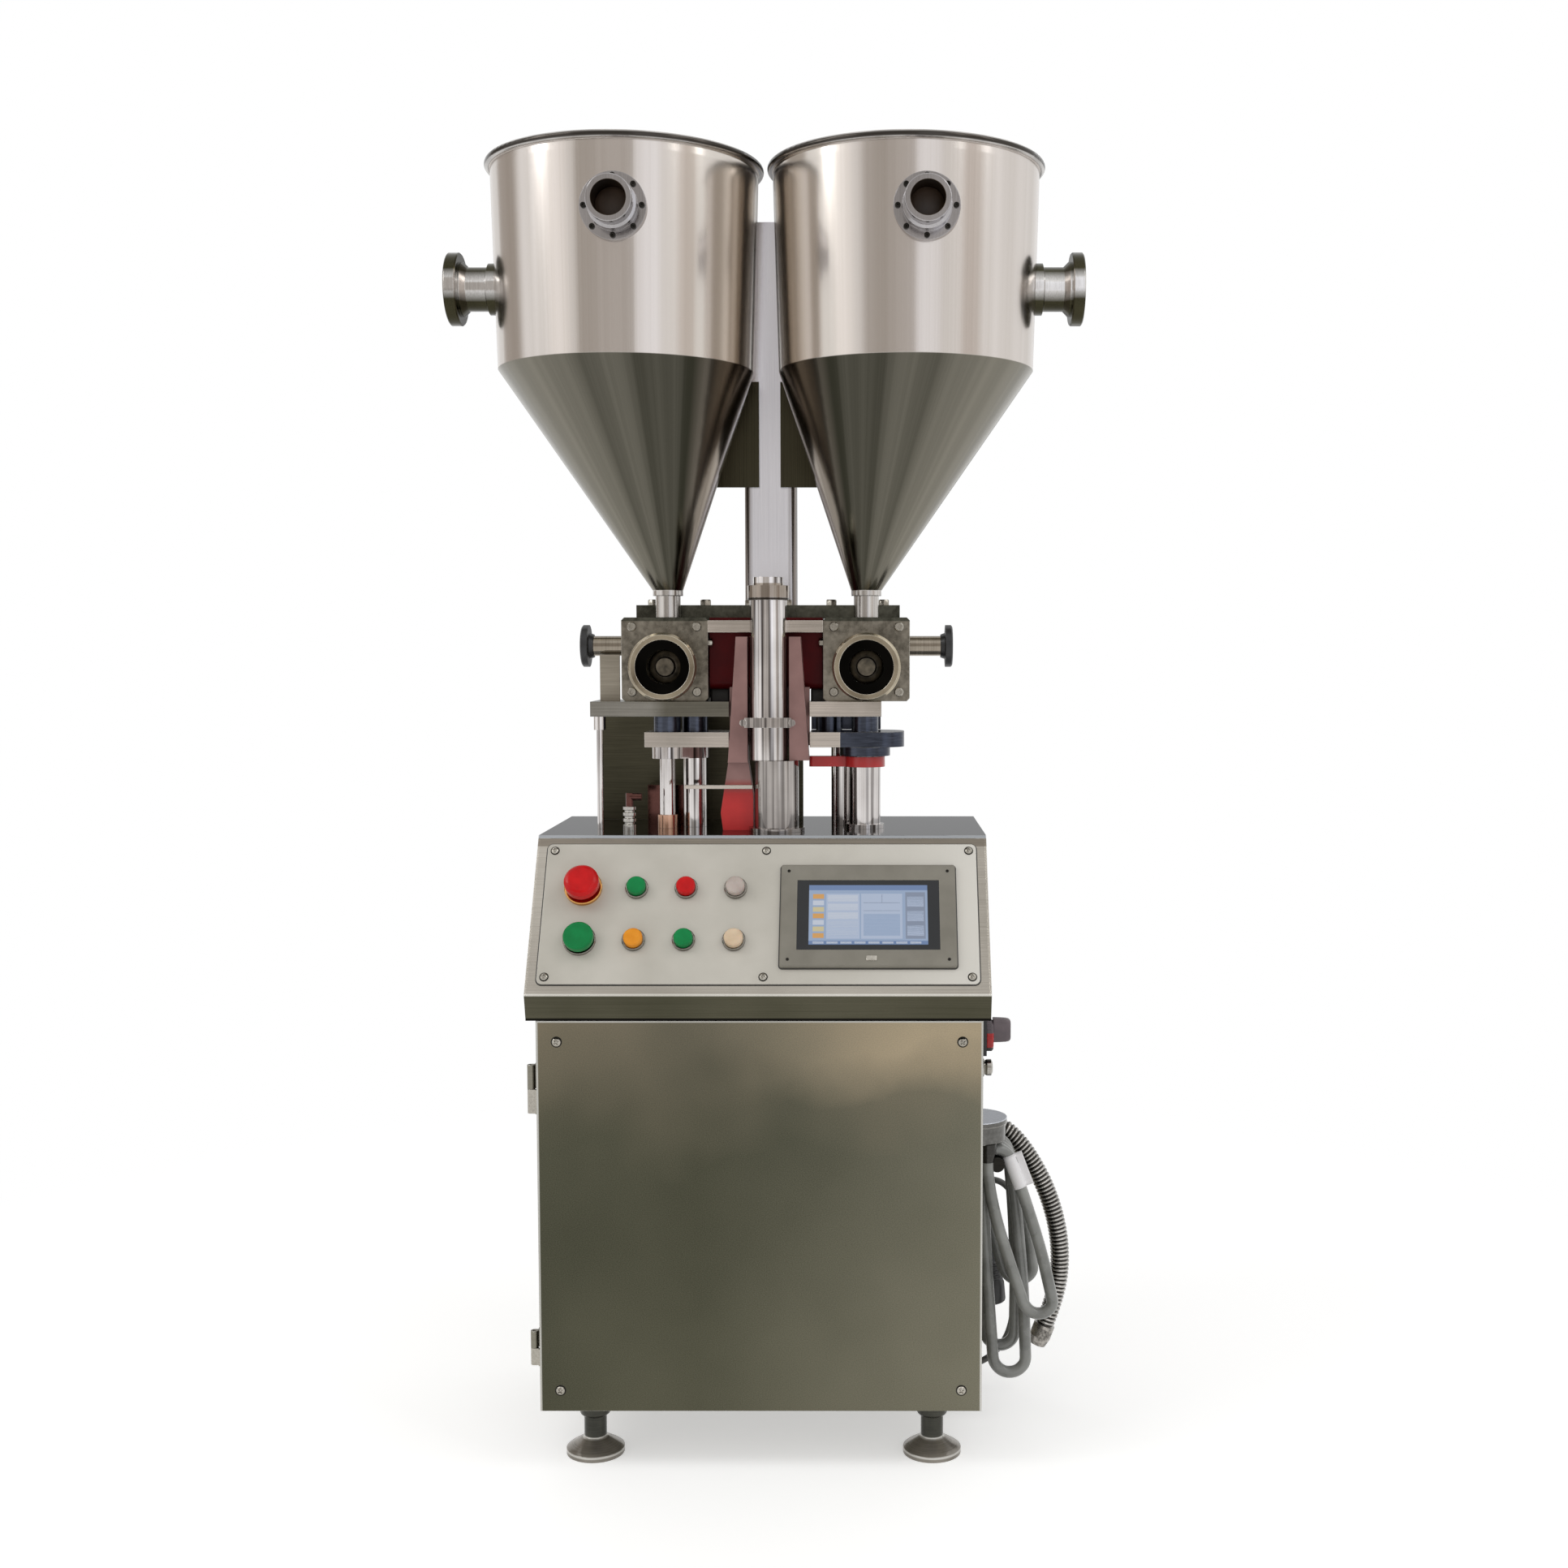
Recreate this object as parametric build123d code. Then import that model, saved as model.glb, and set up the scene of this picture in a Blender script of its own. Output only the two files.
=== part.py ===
"""Twin-hopper piston filling machine on a console cabinet.

Millimetres, +Z up, +X to the operator's right, +Y towards the back of the machine.
The origin is on the floor under the middle of the machine.
"""
from build123d import *
import math
import os

os.makedirs("parts", exist_ok=True)

# Clearances shared by every fit
running_gap = 0.05          # radial gap of a shaft or piston in its bore
loose_gap = 0.3             # gap between pieces that pass each other

# Feet, cabinet and its door
foot_height = 80.0
foot_pad_r = 38.0
foot_pad_t = 7.0
foot_dome_h = 15.0
foot_spindle_r = 14.7
foot_nut_r = 20.0
foot_nut_h = 13.0
foot_x = 221.0
foot_inset_y = 62.0
cabinet_w = 564.0
cabinet_front_y = -190.0
cabinet_d = 358.0
cabinet_h = 510.0
sheet_t = 2.0
frame_bar = 24.0
frame_wall = 2.0
front_gap = 5.0             # strip of frame left bare above the front cover
screw_r = 2.5
screw_head_r = 5.5
screw_head_h = 3.2
cover_screw_inset_x = 26.0
cover_screw_inset_z = 27.0
door_edge_gap = 4.0
hinge_offset_x = 8.0        # hinge axis outside the cabinet side
hinge_offset_y = 10.0       # hinge axis behind the front of the cabinet
knuckle_r = 5.0
hinge_pin_r = 2.5
hinge_leaf_t = 2.0
hinge_leaf_w = 26.0
upper_hinge_z = 385.0       # above the cabinet floor
upper_hinge_h = 62.0
lower_hinge_z = 58.0
lower_hinge_h = 44.0
latch_z = 250.0
latch_inset_y = 43.0        # latch spindle in front of the cabinet back
latch_spindle_r = 5.0
latch_handle_r = 14.0
latch_handle_t = 9.0
latch_cam_w = 12.0
latch_cam_l = 22.0
latch_cam_t = 3.0

# Console and table
console_w = 580.0
console_h = 221.0
nose_y = -224.0
nose_h = 34.0               # nose above the console underside
lip_y = -214.0
table_front_y = -104.0
table_t = 4.0
panel_margin = 14.0
panel_t = 2.0
panel_corner_r = 7.0
panel_screw_inset = 9.5
panel_screw_middle_x = 6.0
panel_screw_r = 2.0
panel_screw_head_r = 4.6
panel_screw_head_h = 2.4

# Push buttons, placed on the slope by their distance from the middle and up from the nose
button_columns = (-226.0, -158.0, -95.0, -32.0)
button_row_low = 73.0
button_row_high = 145.0
button_hole_r = 11.25
button_cap_r = 12.0
button_cap_h = 8.5
button_bevel = 1.5
button_stem_r = 5.0
button_stem_l = 24.0
button_lift = 4.5           # cap underside above the plate at rest
collar_r = 14.6
collar_h = 5.0
collar_edge = 1.0
stop_head_r = 22.0
stop_head_h = 16.0
stop_crown_h = 5.0
stop_crown_r = 6.0
stop_neck_h = 8.0
stop_collar_r = 24.0
stop_collar_h = 6.0
start_head_r = 19.0
start_head_h = 8.5
start_neck_h = 3.5
start_collar_r = 20.6
start_collar_h = 4.0
contact_block_w = 28.0
contact_block_h = 36.0
contact_bore_d = 33.0

# Touch screen
screen_x = 137.0
screen_s = 105.5
bezel_w = 222.0
bezel_h = 141.0
bezel_t = 7.0
bezel_corner_r = 3.0
window_w = 180.0
window_h = 96.0
window_depth = 2.0
glass_t = 1.6
screen_body_w = 192.0
screen_body_h = 124.0
screen_body_d = 36.0
cutout_gap = 1.0

# Right wall: mains switch, air fitting, cable entry box and hanger
switch_y = -100.0
switch_below_top = 42.0     # below the cabinet's top
switch_base_w = 46.0
switch_base_t = 9.0
switch_disc_r = 21.0
switch_disc_t = 9.0
switch_grip_t = 23.0
switch_grip_w = 17.0
switch_grip_up = 23.0
switch_grip_down = 9.0
switch_shaft_r = 4.0
switch_shaft_l = 8.0
air_port_below_switch = 43.0
air_port_r = 12.0
air_port_l = 18.0
entry_box_r = 41.0
entry_box_y = -30.0
entry_box_z = 312.0
entry_box_h = 30.0
entry_lid_r = 43.0
entry_lid_h = 7.0
hanger_x = 29.0             # bar axis outside the right wall
hanger_z = 280.0
hanger_r = 10.0
hanger_front_y = -50.0
hanger_back_y = 34.0
hanger_plate_t = 6.0
hanger_plate_h = 26.0

# Cables on the right wall
cable_r = 8.0
hank_pitch = 20.0
hank_front_y = -58.0
hank_top_r = 18.6
gland_r = 12.0
gland_l = 25.0
thin_cable_r = 4.5
thin_gland_r = 8.0
thin_gland_l = 18.0
conduit_r = 13.2
conduit_root_r = 11.6
conduit_bore_r = 9.5
conduit_rib = 5.6
conduit_gland_r = 16.0
conduit_gland_l = 14.0
conduit_end_r = 14.8
conduit_end_l = 30.0
plug_r = 20.0
plug_l = 80.0

# Mechanism on the table
pillar_h = 110.0
plate_t = 20.0
spacer_h = 21.0
plate_front_y = -28.0
upper_plate_back_y = 80.0
lower_plate_back_y = 60.0
upper_plate_left_x = -233.0
upper_plate_right_x = 155.0
lower_plate_left_x = -161.0
lower_plate_right_x = 186.0
pivot_cap_x = 100.0
left_rod_x = -133.5
left_rod_y = 0.0
left_rod_r = 10.5
left_tube_x = -98.0
left_tube_y = 22.0
left_tube_r = 17.0
left_collar_r = 20.5
left_collar_h = 16.0
right_tube_x = 133.0
right_tube_y = 0.0
right_tube_r = 21.0
right_foot_r = 26.0
right_foot_h = 6.0
back_tube_x = 102.0
back_tube_y = 42.0
back_tube_r = 15.0
corner_rod_x = -222.0
corner_rod_y = -16.0
corner_rod_r = 4.3
corner_bush_r = 8.0
corner_bush_h = 18.0
bush_r = 13.5
bush_h = 18.0
spacer_r = 18.0
rear_strip_t = 12.0
scale_ring_r = 34.0
scale_ring_h = 12.0
lever_hub_r = 27.0
lever_hub_h = 14.0
lever_reach = 75.0
lever_w = 14.0
lever_drop = 1.0

# Centre column and red bracket
column_x = 5.5
column_y = -42.0
column_r = 24.5
column_cap_r = 27.5
column_cap_h = 19.0
column_boss_r = 20.0
column_boss_h = 11.0
column_top_z = 305.0        # underside of the cap above the table
column_foot_x = 16.0
column_foot_r = 29.0
column_foot_h = 94.0
column_flange_r = 37.0
column_flange_h = 5.0
clamp_z = 138.0
clamp_h = 13.0
clamp_d = 9.0
clamp_bolt_r = 4.5
bracket_gap = 3.0
bracket_front_y = -52.0
bracket_d = 38.0
bracket_top_z = 257.0
bracket_top_w = 15.0
bracket_foot_w = 26.0
leg_left_x = -56.0
leg_right_x = -15.5
web_t = 8.0
web_low_z = 112.0
web_high_z = 190.0
link_z = 56.0
link_t = 5.0
link_w = 9.0
link_left_x = -106.0
link_right_x = -16.0
guard_t = 3.0
guard_y = 118.0
guard_left_x = -240.0
guard_right_x = 46.0
guard_h = 149.0
side_guard_w = 27.0
side_guard_h = 62.0
air_fitting_x = -180.0
air_fitting_y = -40.0
nipple_r = 8.5
nipple_h = 32.0
elbow_r = 5.0
elbow_h = 18.0
elbow_l = 16.0
valve_box_x = -166.0
valve_box_y = 50.0
valve_box_w = 60.0
valve_box_h = 54.0

# Filling heads: valve blocks, outlets, rotors, pistons
outlet_x = 135.0
hopper_y = 38.5
block_w = 116.0
block_h = 112.0
block_front_y = -10.0
block_d = 94.0
block_chamfer = 4.0
chamber_r = 23.0
chamber_z = 46.0            # chamber axis above the block underside
flange_r = 45.5
flange_l = 35.0
mouth_r = 36.0
mouth_d = 16.0
rotor_z = 74.0
rotor_r = 18.0
rotor_port_r = 13.0
rotor_shaft_r = 10.0
stub_r = 13.5
stub_l = 43.0
knob_r = 28.5
knob_t = 16.0
head_bolt_r = 6.5
head_bolt_h = 7.0
head_bolt_spread = 43.5
actuator_gap = 1.0          # between the actuator and each valve block
actuator_front_y = 4.0
actuator_back_y = 80.0
actuator_h = 96.0
bridge_w = 362.0
bridge_front_y = 60.0
bridge_t = 18.0
bridge_bolt_r = 8.0
bridge_bolt_h = 8.0
tie_front_y = -16.0
tie_back_y = 2.0
tie_h = 16.0
tie_drop = 4.0
stroke = 70.0
piston_face_y = 60.0
piston_l = 28.0
piston_boss_r = 14.0
piston_boss_l = 4.0
piston_rod_r = 8.0
seal_w = 5.0
seal_depth = 3.0
seal_gap = 0.03
cylinder_r = 31.0
cylinder_cap_t = 8.0
cylinder_spare = 2.0        # room left behind the piston at full stroke
air_cylinder_r = 13.5
air_bore_r = 11.0
air_wall_t = 8.0
air_piston_t = 8.0
air_rod_r = 5.0
crosshead_y = 203.0
crosshead_t = 14.0
crosshead_h = 30.0
crosshead_over = 17.0
rod_nut_r = 11.0
rod_nut_t = 5.0

# Hoppers, ports and post
hopper_x = 188.0
hopper_wall = 2.0
barrel_top_r = 178.0
barrel_low_r = 171.0
barrel_h = 266.0
cone_h = 293.0
cone_low_r = 20.5
neck_h = 37.0
neck_r = 17.0
neck_bore_r = 15.0
ferrule_h = 7.0
rim_bead_r = 5.0
rim_proud = 7.5             # rim outside the top of the barrel
mouth_h = 15.0              # straight lip below the rim
side_port_h = 110.0         # above the bottom of the barrel
side_port_reach = 425.0
side_pipe_r = 29.0
side_pipe_bore_r = 25.0
side_flange_r = 48.0
side_flange_t = 16.0
side_hub_r = 36.0
side_hub_t = 10.0
side_weld_r = 34.0
side_weld_t = 10.0
front_port_h = 178.0
front_port_left_x = -181.0
front_port_right_x = 210.0
front_ring_r = 42.0
front_ring_proud = 5.0      # ring face in front of the barrel
front_hub_r = 31.0
front_hub_l = 12.0
front_pipe_r = 27.0
front_pipe_bore_r = 21.5
front_pipe_l = 42.0
front_lip_l = 7.0
front_lip_proud = 2.0
port_edge = 1.5
port_relief = 2.0           # the root of a port's bore is this much wider
port_relief_l = 3.0         # and ends this far outside the barrel
port_screw_count = 8
port_screw_ring_r = 36.5
port_screw_r = 3.6
port_screw_h = 3.0
post_w = 72.0
post_front_y = 130.0
post_d = 70.0
post_h = 833.0
post_corner_r = 8.0
post_wall = 4.0
ear_t = 6.0
ear_gap = 30.0
ear_h = 146.0

# Inside the cabinet
gear_plate_w = 380.0
gear_plate_top_gap = 40.0   # plate's top below the cabinet's top
gear_plate_t = 4.0
gear_plate_z = 140.0
rail_h = 35.0
rail_t = 8.0
module_d = 70.0
manifold_w = 180.0
manifold_d = 60.0
manifold_h = 45.0
manifold_y = 20.0
manifold_valve_w = 22.0
manifold_valve_count = 6

# Levels and faces worked out from the sizes above
cabinet_x = cabinet_w / 2
cabinet_back_y = cabinet_front_y + cabinet_d
cabinet_top_z = foot_height + cabinet_h
switch_axis_z = cabinet_top_z - switch_below_top
gear_plate_h = cabinet_h - gear_plate_z - gear_plate_top_gap
console_x = console_w / 2
nose_z = cabinet_top_z + nose_h
table_z = cabinet_top_z + console_h
table_low_z = table_z - table_t
lower_plate_z = table_z + pillar_h
spacer_z = lower_plate_z + plate_t
upper_plate_z = spacer_z + spacer_h
block_z = upper_plate_z + plate_t
block_top_z = block_z + block_h
block_back_y = block_front_y + block_d
chamber_axis_z = block_z + chamber_z
rotor_axis_z = block_z + rotor_z
cone_low_z = block_top_z + neck_h
barrel_z = cone_low_z + cone_h
barrel_top_z = barrel_z + barrel_h
hinge_x = -(cabinet_x + hinge_offset_x)
hinge_y = cabinet_front_y + hinge_offset_y
door_x = -(cabinet_x + sheet_t)
hanger_axis_x = cabinet_x + hanger_x
hanger_axis_z = foot_height + hanger_z
entry_low_z = foot_height + entry_box_z
bracket_back_y = bracket_front_y + bracket_d
cheek_left_x = column_x - column_r - bracket_gap
cheek_right_x = column_x + column_r + bracket_gap
web_left_x = cheek_left_x - bracket_foot_w
web_right_x = cheek_right_x + bracket_foot_w
air_cylinder_x = outlet_x - cylinder_r - air_cylinder_r - loose_gap
cylinder_l = piston_face_y + piston_l + stroke + cylinder_spare + cylinder_cap_t - block_back_y
air_piston_y = block_back_y + air_wall_t + cylinder_spare
air_cylinder_l = 2 * air_wall_t + 2 * cylinder_spare + air_piston_t + stroke

# The console slope as a plane: x to the right, y up the slope, z out of it
slope_rise = table_z - nose_z
slope_run = table_front_y - nose_y
slope_l = math.hypot(slope_rise, slope_run)
slope = Plane(origin=(0, nose_y, nose_z), x_dir=(1, 0, 0), z_dir=(0, -slope_rise, slope_run))


def block(x0, x1, y0, y1, z0, z1):
    """Block between two opposite corners."""
    return Pos((x0 + x1) / 2, (y0 + y1) / 2, (z0 + z1) / 2) * Box(x1 - x0, y1 - y0, z1 - z0)


def bar_x(x0, x1, y, z, r):
    """Round bar along X."""
    return Pos((x0 + x1) / 2, y, z) * Rot(0, 90, 0) * Cylinder(r, abs(x1 - x0))


def bar_y(y0, y1, x, z, r):
    """Round bar along Y."""
    return Pos(x, (y0 + y1) / 2, z) * Rot(90, 0, 0) * Cylinder(r, abs(y1 - y0))


def bar_z(z0, z1, x, y, r):
    """Round bar along Z."""
    return Pos(x, y, (z0 + z1) / 2) * Cylinder(r, abs(z1 - z0))


def hex_head(r, h):
    """Hexagon bolt head or nut standing on the XY plane."""
    return extrude(RegularPolygon(r, 6), h)


def turned(profile):
    """Solid turned about Z from (radius, height) points."""
    return revolve(Plane.XZ * make_face(Polyline(*profile, close=True)), Axis.Z)


def side_profile(points, x0, x1):
    """Prism along X whose outline is given as (y, z) points."""
    return Pos(x0, 0, 0) * extrude(Plane.YZ * make_face(Polyline(*points, close=True)), x1 - x0)


def front_profile(points, y0, y1):
    """Prism along Y whose outline is given as (x, z) points."""
    return Pos(0, y0, 0) * extrude(Plane.XZ * make_face(Polyline(*points, close=True)), y0 - y1)


def on_slope(shape, x=0.0, s=0.0):
    """Place a shape modelled about Z on the console slope."""
    return slope.location * Pos(x, s, 0) * shape


def save(name, *shapes):
    """Write one node; every solid in it stays separate."""
    solids = [solid for shape in shapes for solid in shape.solids()]
    export_step(solids[0] if len(solids) == 1 else Compound(children=solids), f"parts/{name}.step")


def levelling_feet():
    """Pad, dome and spindle turned in one piece, and the lock nut under the cabinet floor."""
    nut_z = foot_height - foot_nut_h
    dome_z = foot_pad_t + foot_dome_h
    foot = turned([
        (0, 0), (foot_pad_r, 0), (foot_pad_r, foot_pad_t), (foot_pad_r - 4, foot_pad_t + 3),
        (foot_spindle_r + 6, dome_z - 4), (foot_spindle_r, dome_z), (foot_spindle_r, nut_z), (0, nut_z)])
    nut = turned([
        (0, nut_z), (foot_spindle_r + 1, nut_z), (foot_nut_r, foot_height - foot_nut_h / 2),
        (foot_nut_r, foot_height), (0, foot_height)])
    pieces = []
    for x in (-foot_x, foot_x):
        for y in (cabinet_front_y + foot_inset_y, cabinet_back_y - foot_inset_y):
            pieces.append(Pos(x, y, 0) * foot)
            pieces.append(Pos(x, y, 0) * nut)
    save("levelling_feet", *pieces)


def cabinet():
    """Fixed sheets of the cabinet, its tube frame and the screwed front cover."""
    front = cabinet_front_y + sheet_t
    back = cabinet_back_y - sheet_t
    right = cabinet_x - sheet_t
    low = foot_height + sheet_t
    save("cabinet_panels",
         block(right, cabinet_x, front, back, foot_height, cabinet_top_z),
         block(-cabinet_x, cabinet_x, back, cabinet_back_y, foot_height, cabinet_top_z),
         block(-cabinet_x, right, front, back, foot_height, low))

    bars = []
    half = frame_bar / 2
    inner_l = back - front - 2 * frame_bar
    inner_w = right + cabinet_x - 2 * frame_bar
    heights = (low + half, cabinet_top_z - half)
    depths = (front + half, back - half)
    for x in (-cabinet_x + half, right - half):
        bars += [Pos(x, y, low) * square_tube(cabinet_top_z - low) for y in depths]
        bars += [Pos(x, front + frame_bar, z) * Rot(-90, 0, 0) * square_tube(inner_l) for z in heights]
    for y in depths:
        bars += [Pos(-cabinet_x + frame_bar, y, z) * Rot(0, 90, 0) * square_tube(inner_w) for z in heights]
    save("inner_frame", *bars)

    cover_top = cabinet_top_z - front_gap
    cover = block(-cabinet_x, cabinet_x, cabinet_front_y, front, foot_height, cover_top)
    screws = []
    for x in (-cabinet_x + cover_screw_inset_x, cabinet_x - cover_screw_inset_x):
        for z in (foot_height + cover_screw_inset_z, cover_top - cover_screw_inset_z):
            cover -= bar_y(cabinet_front_y, front, x, z, screw_r)
            screws.append(Pos(x, cabinet_front_y, z) * Rot(90, 0, 0)
                          * pan_screw(screw_head_r, screw_head_h, screw_r, sheet_t))
    save("front_panel", cover)
    return screws


def square_tube(length):
    """Frame tube standing on the XY plane."""
    inner = frame_bar - 2 * frame_wall
    return extrude(Rectangle(frame_bar, frame_bar) - Rectangle(inner, inner), length)


def pan_screw(head_r, head_h, shank_r, grip):
    """Domed screw head on the XY plane with its shank through the sheet below."""
    return turned([
        (0, -grip), (shank_r, -grip), (shank_r, 0), (head_r, 0), (head_r, head_h * 0.4),
        (head_r * 0.75, head_h * 0.85), (head_r * 0.35, head_h), (0, head_h)])


def left_door():
    """Side door on two lift-off hinges, with a quarter-turn latch through it."""
    door = block(door_x, -cabinet_x, hinge_y + 3, cabinet_back_y,
                 foot_height + door_edge_gap, cabinet_top_z - door_edge_gap)
    fixed_leaves = []
    for z, h in ((upper_hinge_z, upper_hinge_h), (lower_hinge_z, lower_hinge_h)):
        z0 = foot_height + z
        middle = z0 + h / 2
        top = z0 + h
        leaf_low = middle + loose_gap / 2
        leaf = block(door_x - hinge_leaf_t, door_x, hinge_y + 1, hinge_y + hinge_leaf_w, leaf_low, top)
        leaf += block(hinge_x, door_x, hinge_y + 1, hinge_y + knuckle_r, leaf_low, top)
        leaf += bar_z(leaf_low, top, hinge_x, hinge_y, knuckle_r)
        door += leaf - bar_z(leaf_low, top, hinge_x, hinge_y, hinge_pin_r + running_gap)
        fixed_top = middle - loose_gap / 2
        fixed = block(-cabinet_x - hinge_leaf_t, -cabinet_x, cabinet_front_y + sheet_t, hinge_y - 1,
                      z0, fixed_top)
        fixed += block(hinge_x, -cabinet_x, hinge_y - knuckle_r, hinge_y - 1, z0, fixed_top)
        fixed += bar_z(z0, fixed_top, hinge_x, hinge_y, knuckle_r)
        fixed += bar_z(z0, top - 1, hinge_x, hinge_y, hinge_pin_r)
        fixed_leaves.append(fixed)
    save("door_hinges", *fixed_leaves)

    spindle_y = cabinet_back_y - latch_inset_y
    spindle_z = foot_height + latch_z
    door -= bar_x(door_x, -cabinet_x, spindle_y, spindle_z, latch_spindle_r + running_gap)
    save("left_door", door)

    cam_x = -cabinet_x + frame_bar + loose_gap
    handle_x = door_x - loose_gap
    latch = bar_x(handle_x - latch_handle_t, handle_x, spindle_y, spindle_z, latch_handle_r)
    latch -= block(handle_x - latch_handle_t, handle_x - latch_handle_t / 2, spindle_y - latch_handle_r,
                   spindle_y - 4, spindle_z - latch_handle_r, spindle_z + latch_handle_r)
    latch -= block(handle_x - latch_handle_t, handle_x - latch_handle_t / 2, spindle_y + 4,
                   spindle_y + latch_handle_r, spindle_z - latch_handle_r, spindle_z + latch_handle_r)
    latch += bar_x(handle_x, cam_x + latch_cam_t, spindle_y, spindle_z, latch_spindle_r)
    latch += block(cam_x, cam_x + latch_cam_t, spindle_y - latch_cam_w / 2, spindle_y + latch_cam_w / 2,
                   spindle_z - latch_cam_w / 2, spindle_z + latch_cam_l)
    save("door_latch", latch)


def buttons():
    """Name, column, row and kind of each push button on the panel."""
    first, second, third, fourth = button_columns
    return (
        ("emergency_stop", first, button_row_high, "stop"),
        ("green_button", second, button_row_high, "small"),
        ("red_button", third, button_row_high, "small"),
        ("clear_button", fourth, button_row_high, "small"),
        ("start_button", first, button_row_low, "start"),
        ("amber_button", second, button_row_low, "small"),
        ("lower_green_button", third, button_row_low, "small"),
        ("cream_button", fourth, button_row_low, "small"))


def panel_screw_places():
    """Screw places on the control panel, as (x, up the slope)."""
    x = console_x - panel_margin - panel_screw_inset
    low = panel_margin + panel_screw_inset
    return [(place, s) for place in (-x, panel_screw_middle_x, x) for s in (low, slope_l - low)]


def slope_holes(depth_low, depth_high, with_screws):
    """Cutters for the button holes and the screen cut-out between two depths of the slope."""
    depth = depth_high - depth_low
    lift = Pos(0, 0, depth_low)
    cutters = [on_slope(lift * extrude(Circle(button_hole_r), depth), x, s) for _, x, s, _ in buttons()]
    cutout = Rectangle(screen_body_w + 2 * cutout_gap, screen_body_h + 2 * cutout_gap)
    cutters.append(on_slope(lift * extrude(cutout, depth), screen_x, screen_s))
    if with_screws:
        screw_hole = lift * extrude(Circle(panel_screw_r), depth)
        cutters += [on_slope(screw_hole, x, s) for x, s in panel_screw_places()]
    return cutters


def console():
    """Folded console housing, table top and the control panel plate with its screws."""
    table_edge_y = nose_y + slope_run * (table_low_z - nose_z) / slope_rise
    low = cabinet_top_z
    cheek = [(lip_y, low), (nose_y, nose_z), (table_edge_y, table_low_z),
             (cabinet_back_y, table_low_z), (cabinet_back_y, low)]
    inner_x = console_x - sheet_t
    outer = side_profile(cheek, -inner_x, inner_x)
    depth_y = sheet_t * slope_l / slope_rise
    lip_depth_y = sheet_t * math.hypot(nose_h, nose_y - lip_y) / nose_h
    nose_in_y = nose_y + max(depth_y, lip_depth_y)
    inside = side_profile([
        (lip_y + lip_depth_y, low), (nose_in_y, nose_z), (table_edge_y + depth_y, table_low_z),
        (cabinet_back_y, table_low_z), (cabinet_back_y, low)], -inner_x, inner_x)
    front = outer - inside
    for cutter in slope_holes(-3 * sheet_t, sheet_t, False):
        front -= cutter
    pan_low_y = lip_y + lip_depth_y
    save("console_housing",
         side_profile(cheek, -console_x, -inner_x),
         side_profile(cheek, inner_x, console_x),
         front,
         block(-inner_x, inner_x, cabinet_back_y - sheet_t, cabinet_back_y, low, table_low_z),
         block(-inner_x, inner_x, pan_low_y, cabinet_back_y - sheet_t, low, low + sheet_t))
    save("table_top", side_profile([
        (table_edge_y, table_low_z), (table_front_y, table_z), (cabinet_back_y, table_z),
        (cabinet_back_y, table_low_z)], -console_x, console_x))

    plate = RectangleRounded(console_w - 2 * panel_margin, slope_l - 2 * panel_margin, panel_corner_r)
    panel = on_slope(extrude(plate, panel_t), 0, slope_l / 2)
    for cutter in slope_holes(0, panel_t, True):
        panel -= cutter
    save("control_panel", panel)
    screw = pan_screw(panel_screw_head_r, panel_screw_head_h, panel_screw_r, panel_t)
    return [on_slope(Pos(0, 0, panel_t) * screw, x, s) for x, s in panel_screw_places()]


def push_buttons():
    """Caps on stems, their collars on the panel and the contact blocks behind the slope."""
    rest = panel_t + button_lift
    stem = extrude(Circle(button_stem_r), rest + button_stem_l)
    stem = Pos(0, 0, -button_stem_l) * stem
    cap_top = rest + button_cap_h
    small = turned([
        (0, rest), (button_cap_r, rest), (button_cap_r, cap_top - button_bevel),
        (button_cap_r - button_bevel, cap_top), (0, cap_top)])
    stop_low = rest + stop_neck_h
    stop_top = stop_low + stop_head_h
    stop = turned([
        (0, rest), (button_cap_r, rest), (button_cap_r, stop_low), (stop_head_r - button_bevel, stop_low),
        (stop_head_r, stop_low + button_bevel), (stop_head_r, stop_top - stop_crown_h),
        (stop_head_r - stop_crown_r / 2, stop_top - stop_crown_h / 4), (stop_head_r - stop_crown_r, stop_top),
        (0, stop_top)])
    start_low = rest + start_neck_h
    start_top = start_low + start_head_h
    start = turned([
        (0, rest), (button_cap_r, rest), (button_cap_r, start_low), (start_head_r, start_low),
        (start_head_r, start_top - button_bevel), (start_head_r - button_bevel, start_top), (0, start_top)])
    heads = {"small": small, "stop": stop, "start": start}
    collars = {"small": (collar_r, collar_h), "stop": (stop_collar_r, stop_collar_h),
               "start": (start_collar_r, start_collar_h)}
    bore = button_cap_r + loose_gap
    collar_pieces = []
    block_pieces = []
    back = -sheet_t
    contact = Pos(0, 0, back - contact_block_h / 2) * Box(contact_block_w, contact_block_w, contact_block_h)
    contact -= Pos(0, 0, back - contact_bore_d) * extrude(Circle(button_stem_r + loose_gap), contact_bore_d)
    for name, x, s, kind in buttons():
        save(name, on_slope(heads[kind] + stem, x, s))
        r, h = collars[kind]
        ring = turned([
            (bore, panel_t), (r, panel_t), (r, panel_t + h - collar_edge), (r - collar_edge, panel_t + h),
            (bore, panel_t + h)])
        collar_pieces.append(on_slope(ring, x, s))
        block_pieces.append(on_slope(contact, x, s))
    save("button_collars", *collar_pieces)
    save("contact_blocks", *block_pieces)


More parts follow.
